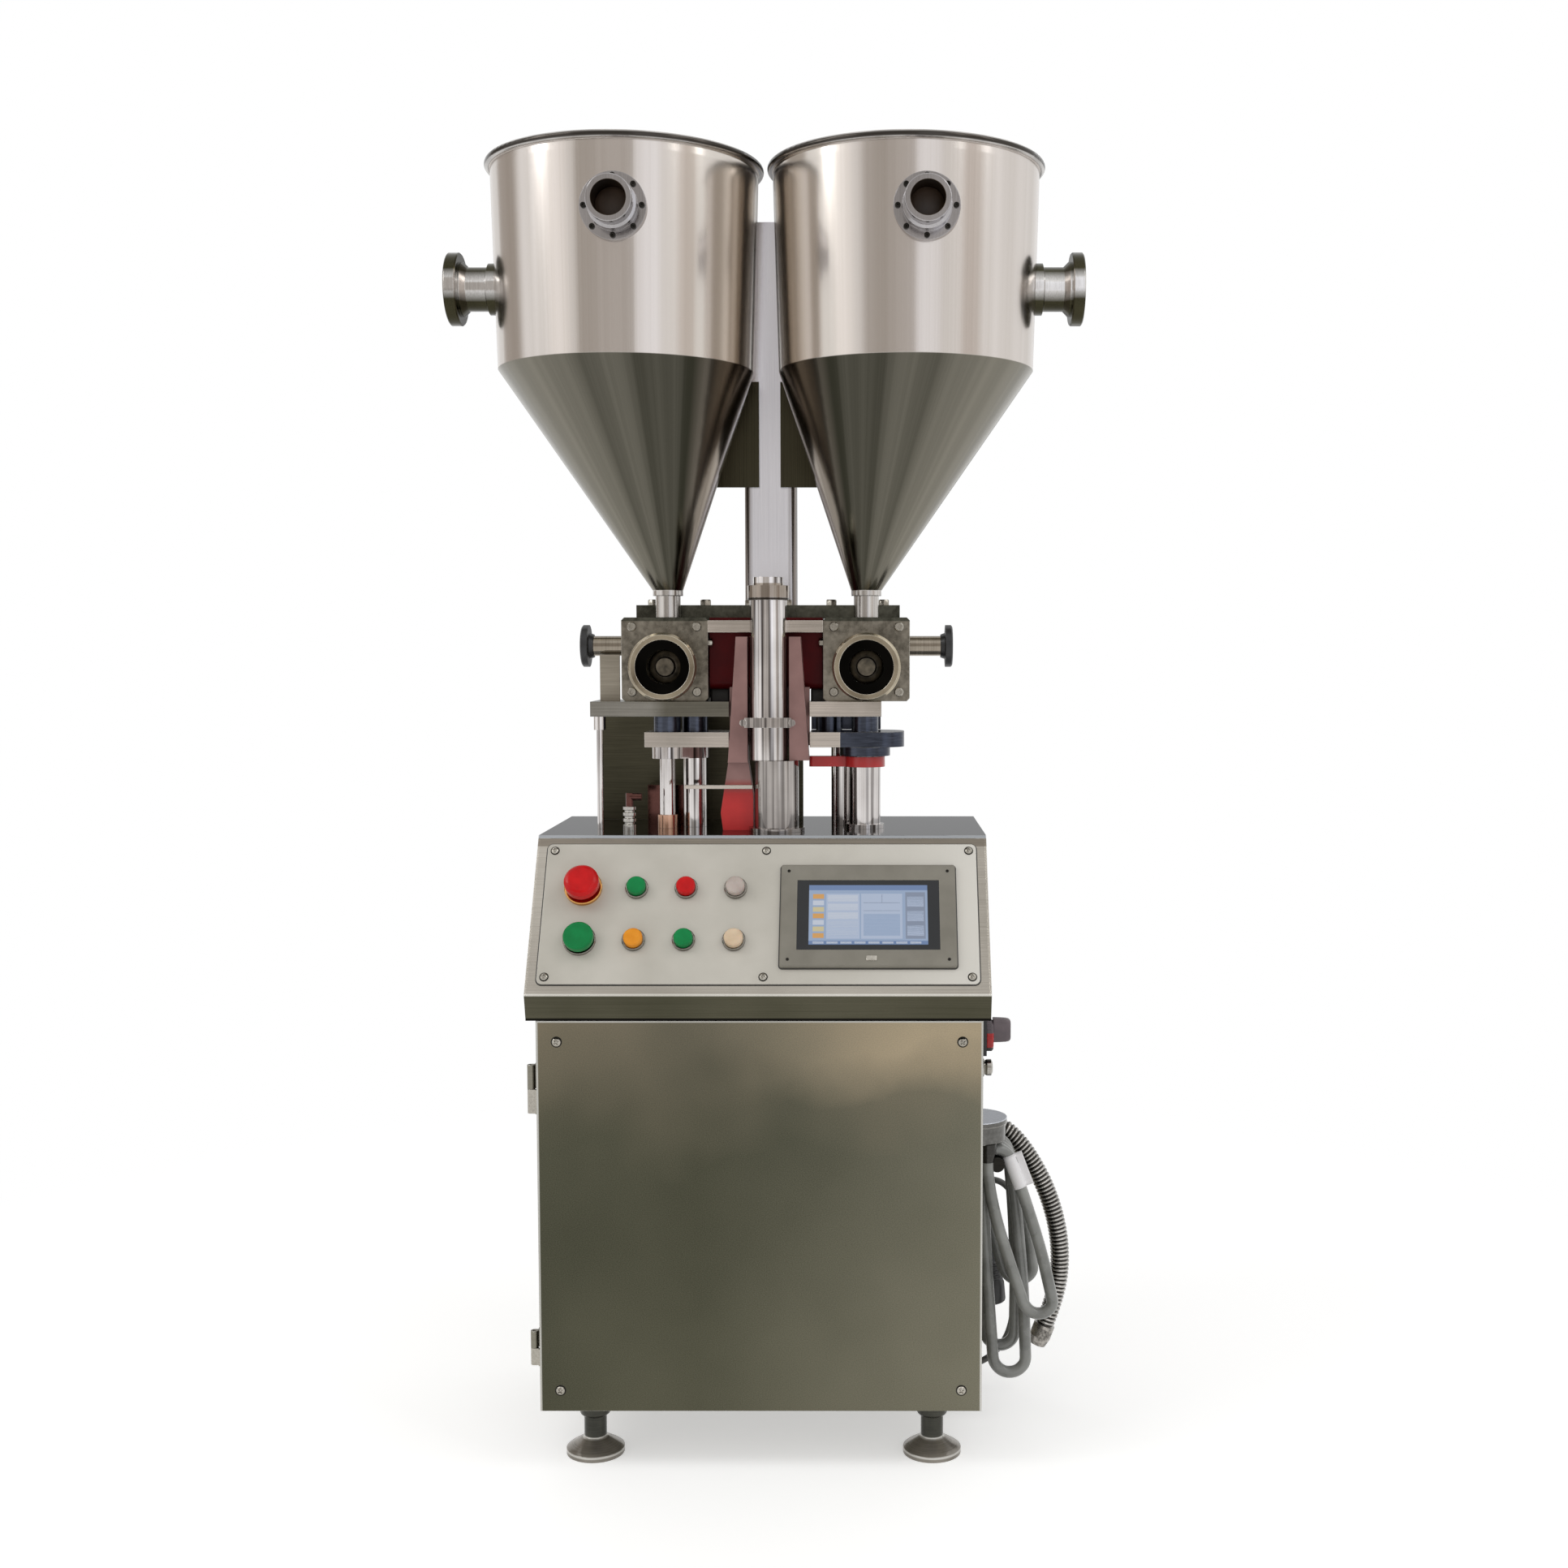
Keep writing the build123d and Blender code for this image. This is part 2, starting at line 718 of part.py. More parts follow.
def touch_screen():
    """Bezel with its rear body through the panel, and the glass in the bezel's window."""
    face_z = panel_t + bezel_t
    bezel = Pos(0, 0, panel_t) * extrude(RectangleRounded(bezel_w, bezel_h, bezel_corner_r), bezel_t)
    bezel = chamfer(bezel.faces().sort_by(Axis.Z)[-1].edges(), bezel_t / 4)
    window_z = face_z - window_depth
    bezel -= Pos(0, 0, window_z) * extrude(Rectangle(window_w, window_h), window_depth)
    body_low = panel_t - screen_body_d
    bezel += Pos(0, 0, body_low) * extrude(Rectangle(screen_body_w, screen_body_h), screen_body_d)
    save("hmi_bezel", on_slope(bezel, screen_x, screen_s))
    glass = Pos(0, 0, window_z) * extrude(Rectangle(window_w, window_h), glass_t)
    save("hmi_screen", on_slope(glass, screen_x, screen_s))


def mains_switch():
    """Rotary switch on the right wall: base plate, and disc with grip on its shaft."""
    z = switch_axis_z
    half = switch_base_w / 2
    base_face = cabinet_x + switch_base_t
    base = block(cabinet_x, base_face, switch_y - half, switch_y + half, z - half, z + half)
    base -= bar_x(cabinet_x, base_face, switch_y, z, switch_shaft_r + running_gap)
    save("mains_switch_base", base)
    disc_x = base_face + loose_gap
    grip_x = disc_x + switch_disc_t
    handle = bar_x(disc_x, grip_x, switch_y, z, switch_disc_r)
    handle += bar_x(base_face - switch_shaft_l, disc_x, switch_y, z, switch_shaft_r)
    grip = block(grip_x, grip_x + switch_grip_t, switch_y - switch_grip_w / 2, switch_y + switch_grip_w / 2,
                 z - switch_grip_down, z + switch_grip_up)
    grip = fillet(grip.edges().filter_by(Axis.X), switch_grip_w / 4)
    save("mains_switch_grip", handle + grip)


def control_gear():
    """Gear plate on the back wall with rails and modules, and the air manifold on the floor."""
    back = cabinet_back_y - sheet_t
    plate_face = back - gear_plate_t
    z0 = foot_height + gear_plate_z
    half = gear_plate_w / 2
    pieces = [block(-half, half, plate_face, back, z0, z0 + gear_plate_h)]
    rail_face = plate_face - rail_t
    for row in range(3):
        rail_z = z0 + gear_plate_h * (row + 0.5) / 3
        pieces.append(block(-half, half, rail_face, plate_face, rail_z - rail_h / 2, rail_z + rail_h / 2))
        count = 3 + row
        pitch = gear_plate_w / count
        for i in range(count):
            x0 = -half + pitch * (i + 0.1)
            pieces.append(block(x0, x0 + pitch * 0.8, rail_face - module_d, rail_face,
                                rail_z - rail_h, rail_z + rail_h))
    floor_z = foot_height + sheet_t
    top = floor_z + manifold_h
    pieces.append(block(-manifold_w / 2, manifold_w / 2, manifold_y, manifold_y + manifold_d, floor_z, top))
    for i in range(manifold_valve_count):
        x = -manifold_w / 2 + manifold_w * (i + 0.5) / manifold_valve_count
        half_valve = manifold_valve_w / 2
        pieces.append(block(x - half_valve, x + half_valve, manifold_y, manifold_y + manifold_d,
                            top, top + manifold_h))
    save("control_gear", *pieces)


def support_frame(link):
    """Pillars on the table, the two levels of support plates, spacers, bush, link and tie bar."""
    under = lower_plate_z
    tie_z = block_top_z - tie_drop - tie_h
    tie_x = outlet_x - block_w / 2
    save("support_plates",
         block(upper_plate_left_x, web_left_x, plate_front_y, upper_plate_back_y, upper_plate_z, block_z),
         block(web_right_x, upper_plate_right_x, plate_front_y, upper_plate_back_y, upper_plate_z, block_z),
         block(lower_plate_left_x, web_left_x - loose_gap, plate_front_y, lower_plate_back_y,
               under, spacer_z),
         block(web_right_x + loose_gap, pivot_cap_x, plate_front_y, lower_plate_back_y, under, spacer_z),
         block(-tie_x, tie_x, tie_front_y, tie_back_y, tie_z, tie_z + tie_h),
         link)

    collar_z = under - left_collar_h
    left_tube = bar_z(table_z, collar_z, left_tube_x, left_tube_y, left_tube_r)
    left_rod = bar_z(table_z, collar_z, left_rod_x, left_rod_y, left_rod_r)
    rings = Pos(left_rod_x, left_rod_y) * Circle(left_collar_r)
    rings += Pos(left_tube_x, left_tube_y) * Circle(left_collar_r)
    collar = Pos(0, 0, collar_z) * extrude(make_hull(rings.edges()), left_collar_h)
    right_tube = bar_z(table_z, under, right_tube_x, right_tube_y, right_tube_r)
    right_tube += bar_z(table_z, table_z + right_foot_h, right_tube_x, right_tube_y, right_foot_r)
    back_tube = bar_z(table_z, under, back_tube_x, back_tube_y, back_tube_r)
    bush_z = upper_plate_z - corner_bush_h
    corner = bar_z(table_z, bush_z, corner_rod_x, corner_rod_y, corner_rod_r)
    corner += bar_z(bush_z, upper_plate_z, corner_rod_x, corner_rod_y, corner_bush_r)
    save("pillars", left_tube, left_rod, collar, right_tube, back_tube, corner)

    bush = bar_z(table_z, table_z + bush_h, left_rod_x, left_rod_y, bush_r)
    save("bronze_bush", bush - bar_z(table_z, table_z + bush_h, left_rod_x, left_rod_y, left_rod_r))

    spacers = []
    for x, y in ((left_rod_x, left_rod_y), (left_tube_x, left_tube_y),
                 (right_tube_x, right_tube_y), (back_tube_x - spacer_r, back_tube_y)):
        spacers.append(bar_z(spacer_z, upper_plate_z, x, y, spacer_r))
    ring_z = under - scale_ring_h
    ring = bar_z(ring_z, under, right_tube_x, right_tube_y, scale_ring_r)
    ring -= bar_z(ring_z, under, right_tube_x, right_tube_y, right_tube_r)
    ring -= bar_z(ring_z, under, back_tube_x, back_tube_y, back_tube_r + loose_gap)
    cap_depth = lower_plate_back_y - plate_front_y
    cap_end_r = cap_depth / 2
    cap = block(pivot_cap_x, lower_plate_right_x, plate_front_y, lower_plate_back_y, under, spacer_z)
    cap = fillet(cap.edges().filter_by(Axis.Z).group_by(Axis.X)[-1], cap_end_r * 0.7)
    strip = block(web_right_x, upper_plate_right_x, upper_plate_back_y - rear_strip_t, upper_plate_back_y,
                  spacer_z, upper_plate_z)
    save("spacer_rings", ring, cap, strip, *spacers)


def dose_lever():
    """Red lever with a split hub on the right-hand pillar."""
    top = lower_plate_z - scale_ring_h - lever_drop
    low = top - lever_hub_h
    lever = bar_z(low, top, right_tube_x, right_tube_y, lever_hub_r)
    arm = block(right_tube_x - lever_reach, right_tube_x, right_tube_y - lever_w / 2,
                right_tube_y + lever_w / 2, low, top)
    lever += fillet(arm.edges().filter_by(Axis.Z).group_by(Axis.X)[0], lever_w * 0.35)
    lever -= bar_z(low, top, right_tube_x, right_tube_y, right_tube_r + running_gap)
    save("dose_lever", lever)


def centre_column():
    """Lower tube on its flange, upper tube with cap and boss, and the clamp bar in front."""
    foot_top = table_z + column_foot_h
    foot = bar_z(table_z, foot_top, column_foot_x, column_y, column_foot_r)
    foot += bar_z(table_z, table_z + column_flange_h, column_foot_x, column_y, column_flange_r)
    cap_z = table_z + column_top_z
    boss_z = cap_z + column_cap_h
    upper = bar_z(foot_top, cap_z, column_x, column_y, column_r)
    upper += bar_z(cap_z, boss_z, column_x, column_y, column_cap_r)
    upper += bar_z(boss_z, boss_z + column_boss_h, column_x, column_y, column_boss_r)
    clamp_low = table_z + clamp_z
    clamp_top = clamp_low + clamp_h
    clamp_front = column_y - column_r - clamp_d / 2
    clamp = block(cheek_left_x - bracket_gap, cheek_right_x + bracket_gap, clamp_front, clamp_front + clamp_d,
                  clamp_low, clamp_top)
    clamp -= bar_z(clamp_low, clamp_top, column_x, column_y, column_r)
    bolt_z = (clamp_low + clamp_top) / 2
    bolts = []
    for x in (cheek_left_x - clamp_bolt_r, cheek_right_x + clamp_bolt_r):
        clamp -= bar_y(clamp_front, clamp_front + clamp_d, x, bolt_z, clamp_bolt_r)
        bolts.append(bar_y(clamp_front - clamp_bolt_r, bracket_front_y, x, bolt_z, clamp_bolt_r))
    save("centre_column", foot, upper, *clamp.solids(), *bolts)


def red_bracket():
    """Cast bracket: two cheeks beside the column, a web behind it and a leg to the table."""
    top = table_z + bracket_top_z
    foot_top = table_z + column_foot_h
    left = front_profile([
        (cheek_left_x - bracket_top_w, top), (cheek_left_x, top), (cheek_left_x, foot_top),
        (leg_right_x, table_z + column_foot_h / 2), (leg_right_x, table_z), (leg_left_x, table_z),
        (leg_left_x - 3, table_z + column_foot_h / 4), (web_left_x, foot_top)],
        bracket_front_y, bracket_back_y)
    front_of_leg = column_y + bracket_gap
    left -= block(web_left_x - bracket_d, cheek_left_x + bracket_d, bracket_front_y, front_of_leg,
                  table_z, foot_top - bracket_gap)
    right = front_profile([
        (cheek_right_x, top), (cheek_right_x + bracket_top_w, top), (web_right_x, foot_top),
        (cheek_right_x, foot_top)], bracket_front_y, bracket_back_y)
    web = block(web_left_x, web_right_x, bracket_back_y, bracket_back_y + web_t,
                table_z + web_low_z, table_z + web_high_z)
    bracket = left + right + web
    bracket -= bar_z(table_z, foot_top, column_foot_x, column_y, column_foot_r + loose_gap)
    bracket -= bar_z(table_z, table_z + column_flange_h, column_foot_x, column_y, column_flange_r + loose_gap)
    save("red_bracket", bracket)
    return front_of_leg


def guards_and_fittings(front_of_leg):
    """Rear and side guard sheets, the air fitting beside its valve box, and the link plate."""
    side_y = (plate_front_y + upper_plate_back_y) / 2
    save("rear_guard",
         block(guard_left_x, guard_right_x, guard_y, guard_y + guard_t, table_z, table_z + guard_h),
         block(upper_plate_left_x + 6, upper_plate_left_x + 6 + side_guard_w, side_y, side_y + guard_t,
               block_z, block_z + side_guard_h))
    ring_h = nipple_h / 4
    rings = [(nipple_r, 0), (nipple_r, ring_h)]
    for i in (1, 2, 3):
        rings += [(nipple_r - 2, (i + 0.1) * ring_h), (nipple_r - 2, (i + 0.4) * ring_h),
                  (nipple_r, (i + 0.5) * ring_h), (nipple_r, (i + 1) * ring_h)]
    nipple = turned([(0, 0), *rings, (0, nipple_h)])
    elbow = bar_z(nipple_h, nipple_h + elbow_h, 0, 0, elbow_r)
    elbow += bar_x(0, elbow_l, 0, nipple_h + elbow_h - elbow_r, elbow_r)
    box_left = valve_box_x
    save("air_fitting",
         Pos(air_fitting_x, air_fitting_y, table_z) * nipple,
         Pos(air_fitting_x, air_fitting_y, table_z) * elbow,
         block(box_left, box_left + valve_box_w, valve_box_y, valve_box_y + valve_box_w,
               table_z, table_z + valve_box_h))
    return block(link_left_x, link_right_x, front_of_leg - link_w, front_of_leg,
                 table_z + link_z, table_z + link_z + link_t)


def valve_heads():
    """Valve blocks with outlet flanges, bridge, actuator, rotors on one shaft and hand knobs."""
    blocks = []
    flanges = []
    bolts = []
    mouth_y = block_front_y - flange_l
    for side in (-1, 1):
        x = side * outlet_x
        body = block(x - block_w / 2, x + block_w / 2, block_front_y, block_back_y, block_z, block_top_z)
        body = chamfer(body.edges().filter_by(Axis.Y), block_chamfer)
        body -= bar_y(block_front_y, block_back_y, x, chamber_axis_z, chamber_r)
        body -= bar_x(x - block_w / 2, x + block_w / 2, hopper_y, rotor_axis_z, rotor_r + running_gap)
        body -= bar_z(rotor_axis_z, block_top_z, x, hopper_y, neck_bore_r)
        blocks.append(body)
        flange = bar_y(mouth_y, block_front_y, x, chamber_axis_z, flange_r)
        flange = chamfer(flange.edges().group_by(Axis.Y)[0], 3)
        flange -= bar_y(mouth_y, mouth_y + mouth_d, x, chamber_axis_z, mouth_r)
        flange -= bar_y(mouth_y, block_front_y, x, chamber_axis_z, chamber_r)
        flanges.append(flange)
        for dx in (-head_bolt_spread, head_bolt_spread):
            for z in (block_z + block_h / 2 - head_bolt_spread, block_z + block_h / 2 + head_bolt_spread):
                bolt = bar_y(block_front_y - head_bolt_h, block_front_y, x + dx, z, head_bolt_r)
                bolts.append(bolt - bar_y(mouth_y, block_front_y, x, chamber_axis_z, flange_r + loose_gap))
    save("valve_blocks", *blocks)
    save("outlet_flanges", *flanges)

    bridge_top = block_top_z + bridge_t
    half = bridge_w / 2
    save("top_bridge", block(-half, half, bridge_front_y, post_front_y, block_top_z, bridge_top))
    bolt_y = bridge_front_y + 2 * bridge_bolt_r
    for share in (-0.88, -0.48, -0.14, 0.14, 0.48, 0.88):
        bolts.append(Pos(share * half, bolt_y, bridge_top) * hex_head(bridge_bolt_r, bridge_bolt_h))

    half = outlet_x - block_w / 2 - actuator_gap
    actuator = block(-half, half, actuator_front_y, actuator_back_y, block_top_z - actuator_h, block_top_z)
    actuator = fillet(actuator.edges().filter_by(Axis.X).group_by(Axis.Z)[0], 10)
    actuator -= bar_x(-half, half, hopper_y, rotor_axis_z, rotor_shaft_r + running_gap)
    save("rotary_actuator", actuator)

    inner = outlet_x - block_w / 2
    outer = outlet_x + block_w / 2
    shaft = bar_x(-inner, inner, hopper_y, rotor_axis_z, rotor_shaft_r)
    knobs = []
    for side in (-1, 1):
        shaft += bar_x(side * inner, side * outer, hopper_y, rotor_axis_z, rotor_r)
        shaft += bar_x(side * outer, side * (outer + stub_l), hopper_y, rotor_axis_z, stub_r)
        shaft -= bar_z(rotor_axis_z - rotor_r, rotor_axis_z + rotor_r, side * outlet_x, hopper_y,
                       rotor_port_r)
        knob = turned([
            (0, 0), (knob_r * 0.55, 0), (knob_r * 0.62, knob_t * 0.35), (knob_r, knob_t * 0.4),
            (knob_r, knob_t * 0.88), (knob_r * 0.92, knob_t), (0, knob_t)])
        knobs.append(Pos(side * (outer + stub_l), hopper_y, rotor_axis_z) * Rot(0, 90 * side, 0) * knob)
    save("valve_rotors", shaft)
    save("valve_knobs", *knobs)
    return bolts


def pistons():
    """Product and air cylinders behind the blocks; pistons, seals and rods on one crosshead."""
    cylinders = []
    air_cylinders = []
    moving = []
    seals = []
    nuts = []
    z = chamber_axis_z
    rear = block_back_y + cylinder_l
    air_rear = block_back_y + air_cylinder_l
    piston_r = chamber_r - running_gap
    piston_back = piston_face_y + piston_l
    seal_y = piston_face_y + piston_l / 2
    head = crosshead_y + crosshead_t
    for side in (-1, 1):
        x = side * outlet_x
        tube = bar_y(block_back_y, rear, x, z, cylinder_r)
        tube -= bar_y(block_back_y, rear - cylinder_cap_t, x, z, chamber_r)
        tube -= bar_y(rear - cylinder_cap_t, rear, x, z, piston_rod_r + running_gap)
        cylinders.append(tube)
        piston = bar_y(piston_face_y, piston_back, x, z, piston_r)
        piston -= bar_y(seal_y, seal_y + seal_w, x, z, piston_r)
        piston += bar_y(seal_y, seal_y + seal_w, x, z, piston_r - seal_depth)
        piston += bar_y(piston_face_y - piston_boss_l, piston_face_y, x, z, piston_boss_r)
        piston += bar_y(piston_back, crosshead_y, x, z, piston_rod_r)
        moving.append(piston)
        seal = bar_y(seal_y, seal_y + seal_w, x, z, chamber_r - seal_gap)
        seals.append(seal - bar_y(seal_y, seal_y + seal_w, x, z, piston_r - seal_depth))
        nuts.append(Pos(x, head, z) * Rot(-90, 0, 0) * hex_head(rod_nut_r, rod_nut_t))

        air_x = side * air_cylinder_x
        air = bar_y(block_back_y, air_rear, air_x, z, air_cylinder_r)
        air -= bar_y(block_back_y + air_wall_t, air_rear - air_wall_t, air_x, z, air_bore_r)
        air -= bar_y(air_rear - air_wall_t, air_rear, air_x, z, air_rod_r + running_gap)
        air_cylinders.append(air)
        rod = bar_y(air_piston_y, air_piston_y + air_piston_t, air_x, z, air_bore_r - running_gap)
        moving.append(rod + bar_y(air_piston_y + air_piston_t, crosshead_y, air_x, z, air_rod_r))
        nuts.append(Pos(air_x, head, z) * Rot(-90, 0, 0) * hex_head(rod_nut_r * 0.7, rod_nut_t))
    save("product_cylinders", *cylinders)
    save("air_cylinders", *air_cylinders)
    save("pistons", *moving)
    save("piston_seals", *seals)
    half = outlet_x + crosshead_over
    save("crosshead", block(-half, half, crosshead_y, head, z - crosshead_h / 2, z + crosshead_h / 2), *nuts)


def barrel_solid(side):
    """Filled barrel of a hopper, with its slight draft."""
    return Pos(side * hopper_x, hopper_y, 0) * turned([
        (0, barrel_z), (barrel_low_r, barrel_z), (barrel_top_r, barrel_top_z - mouth_h),
        (barrel_top_r, barrel_top_z), (0, barrel_top_z)])


def cone_solid(side, inset):
    """Filled slanted cone from the barrel down to the offset outlet, drawn in by the wall."""
    low = Plane((side * outlet_x, hopper_y, cone_low_z)) * Circle(cone_low_r - inset)
    high = Plane((side * hopper_x, hopper_y, barrel_z)) * Circle(barrel_low_r - inset)
    return loft([low, high], ruled=True)


def front_port_x(side):
    """Place of the front port across the machine."""
    return front_port_left_x if side < 0 else front_port_right_x


def hoppers():
    """Welded hopper shells: rolled rim, barrel, slanted cone and neck."""
    for side, name in ((-1, "hopper_left"), (1, "hopper_right")):
        x = side * hopper_x
        outlet = side * outlet_x
        rim_line_r = barrel_top_r + rim_proud - rim_bead_r
        above = barrel_top_z + 2 * rim_bead_r
        shell = barrel_solid(side) + cone_solid(side, 0)
        shell += bar_z(block_top_z, cone_low_z, outlet, hopper_y, neck_r)
        shell += bar_z(cone_low_z - ferrule_h, cone_low_z, outlet, hopper_y, cone_low_r)
        shell += Pos(x, hopper_y, barrel_top_z) * Torus(rim_line_r, rim_bead_r)
        room = Pos(x, hopper_y, 0) * turned([
            (0, barrel_z), (barrel_low_r - hopper_wall, barrel_z),
            (barrel_top_r - hopper_wall, barrel_top_z - mouth_h), (barrel_top_r - hopper_wall, above),
            (0, above)])
        shell -= room
        shell -= cone_solid(side, hopper_wall)
        shell -= bar_z(block_top_z, cone_low_z, outlet, hopper_y, neck_bore_r)
        side_hole_r = side_pipe_bore_r + port_relief
        front_hole_r = front_pipe_bore_r + port_relief
        shell -= bar_x(x, side * side_port_reach, hopper_y, barrel_z + side_port_h, side_hole_r)
        port_y = hopper_y - barrel_top_r - front_pipe_l
        shell -= bar_y(port_y, hopper_y, front_port_x(side), barrel_z + front_port_h, front_hole_r)
        save(name, shell)


def hopper_ports():
    """Flanged side ports and bolted front ports, cut to sit on the barrel."""
    ports = []
    screws = []
    reach = side_port_reach - hopper_x
    relief = barrel_top_r + port_relief_l
    for side in (-1, 1):
        start = barrel_low_r - side_weld_t
        weld = barrel_top_r + side_weld_t / 2
        flange = reach - side_flange_t
        port = turned([
            (side_pipe_bore_r + port_relief, start), (side_weld_r, start), (side_weld_r, weld),
            (side_pipe_r, weld + port_edge), (side_pipe_r, flange - side_hub_t),
            (side_hub_r, flange - 2 * port_edge), (side_hub_r, flange), (side_flange_r - port_edge, flange),
            (side_flange_r, flange + port_edge), (side_flange_r, reach - port_edge),
            (side_flange_r - port_edge, reach), (side_pipe_bore_r, reach), (side_pipe_bore_r, relief),
            (side_pipe_bore_r + port_relief, relief)])
        port = Pos(side * hopper_x, hopper_y, barrel_z + side_port_h) * Rot(0, 90 * side, 0) * port
        ports.append(port - barrel_solid(side))

        port_root = barrel_low_r - front_ring_r
        face = barrel_top_r + front_ring_proud
        hub = face + front_hub_l
        mouth = face + front_pipe_l
        lip = mouth - front_lip_l
        port = turned([
            (front_pipe_bore_r + port_relief, port_root), (front_ring_r, port_root), (front_ring_r, face),
            (front_hub_r, face), (front_hub_r, hub), (front_pipe_r, hub + port_edge),
            (front_pipe_r, lip - port_edge), (front_pipe_r + front_lip_proud, lip),
            (front_pipe_r + front_lip_proud, mouth - port_edge / 2),
            (front_pipe_r + front_lip_proud - port_edge / 2, mouth), (front_pipe_bore_r, mouth),
            (front_pipe_bore_r, relief), (front_pipe_bore_r + port_relief, relief)])
        place = Pos(front_port_x(side), hopper_y, barrel_z + front_port_h) * Rot(90, 0, 0)
        ports.append(place * port - barrel_solid(side))
        for i in range(port_screw_count):
            angle = math.radians(90 + 360 * i / port_screw_count)
            spot = Pos(port_screw_ring_r * math.cos(angle), port_screw_ring_r * math.sin(angle), face)
            screws.append(place * spot * extrude(Circle(port_screw_r), port_screw_h))
    save("hopper_ports", *ports)
    return screws


def hopper_post():
    """Square post behind the hoppers, and the ear plates that tie the cones to it."""
    post = block(-post_w / 2, post_w / 2, post_front_y, post_front_y + post_d, table_z, table_z + post_h)
    post = fillet(post.edges().filter_by(Axis.Z), post_corner_r)
    post -= block(-post_w / 2 + post_wall, post_w / 2 - post_wall, post_front_y + post_wall,
                  post_front_y + post_d - post_wall, table_z, table_z + post_h - post_wall)
    save("hopper_post", post)
    ears = []
    for side in (-1, 1):
        ear = block(min(side * ear_gap / 2, side * hopper_x), max(side * ear_gap / 2, side * hopper_x),
                    post_front_y - ear_t, post_front_y, barrel_z - ear_h, barrel_z)
        ears.append((ear - cone_solid(side, 0)).solids().sort_by(lambda solid: abs(solid.center().X))[0])
    save("hopper_brackets", *ears)


def corner_radii(points):
    """Largest tangent arc at each corner: 0.45 of the shorter run over the tangent of half the turn."""
    radii = []
    for a, b, c in zip(points, points[1:], points[2:]):
        into = Vector(*b) - Vector(*a)
        out = Vector(*c) - Vector(*b)
        turn = math.radians(into.get_angle(out))
        radii.append(0.45 * min(into.length, out.length) / math.tan(turn / 2))
    return radii


def cord(name, points, r):
    """Round cord along straight runs joined by tangent arcs; prints its radii and length."""
    radii = corner_radii(points)
    path = FilletPolyline(*points, radius=radii)
    wire = path.wire()
    tube = sweep(Plane(origin=wire @ 0, z_dir=wire % 0) * Circle(r), path=path)
    share = tube.volume / (math.pi * r * r * wire.length)
    print(f"{name}: length {wire.length:.0f} mm, least radius {min(radii):.1f} mm, volume share {share:.4f}")
    return tube, wire


def hank_points():
    """Route of the power cable: from the gland through the loops on the hanger to the plug.

    Each loop drops from the hanger, turns round at its own bottom and climbs back one step deeper.
    Turns are half octagons round a circle, so that the arcs lie on that circle.
    """
    bottoms = ((367.0, 179.0, 20.0, -6.0), (330.0, 92.0, 22.0, -3.0),
               (318.0, 120.0, 20.0, -2.5), (345.0, 205.0, 20.0, -9.0))
    eighth = math.pi / 8
    corners = (-7 * eighth, -5 * eighth, -3 * eighth, -eighth)
    start_x = cabinet_x + 15.0
    start_z = entry_low_z - gland_l
    points = [(start_x, hank_front_y, start_z), (start_x, hank_front_y, start_z - 2.5 * cable_r)]
    for i, (x, z, r, bow) in enumerate(bottoms):
        y = hank_front_y + i * hank_pitch
        last_x, _, last_z = points[-1]
        left = x - r
        for t, share in ((0.36, 1.0), (0.72, 0.7)):
            points.append((last_x + (left - last_x) * t + bow * share, y, last_z + (z - last_z) * t))
        out = r / math.cos(eighth)
        points += [(x + out * math.cos(a), y, z + out * math.sin(a)) for a in corners]
        right = x + r
        top_x = hanger_axis_x + hank_top_r
        for t, bow, climb in ((0.36, 4.0, 0.0), (0.72, 4.0, 0.5)):
            points.append((right + (top_x - right) * t + bow, y + hank_pitch * climb,
                           z + (hanger_axis_z - z) * t))
        over = hank_top_r / math.cos(eighth)
        points += [(hanger_axis_x - over * math.cos(a), y + hank_pitch, hanger_axis_z - over * math.sin(a))
                   for a in corners]
    return points + [(294.0, 28.0, 312.0), (298.0, 48.0, 268.0), (305.0, 66.0, 236.0), (307.0, 68.0, 210.0)]


def least_gap(wire, r, step=3.0, apart=60.0):
    """Least gap of a tube to itself, measured on points at least a set length apart along it."""
    count = int(wire.length / step)
    spots = [wire.position_at(i / count) for i in range(count + 1)]
    skip = int(apart / step)
    least = min((spots[i] - spots[j]).length for i in range(count) for j in range(i + skip, count))
    return least - 2 * r


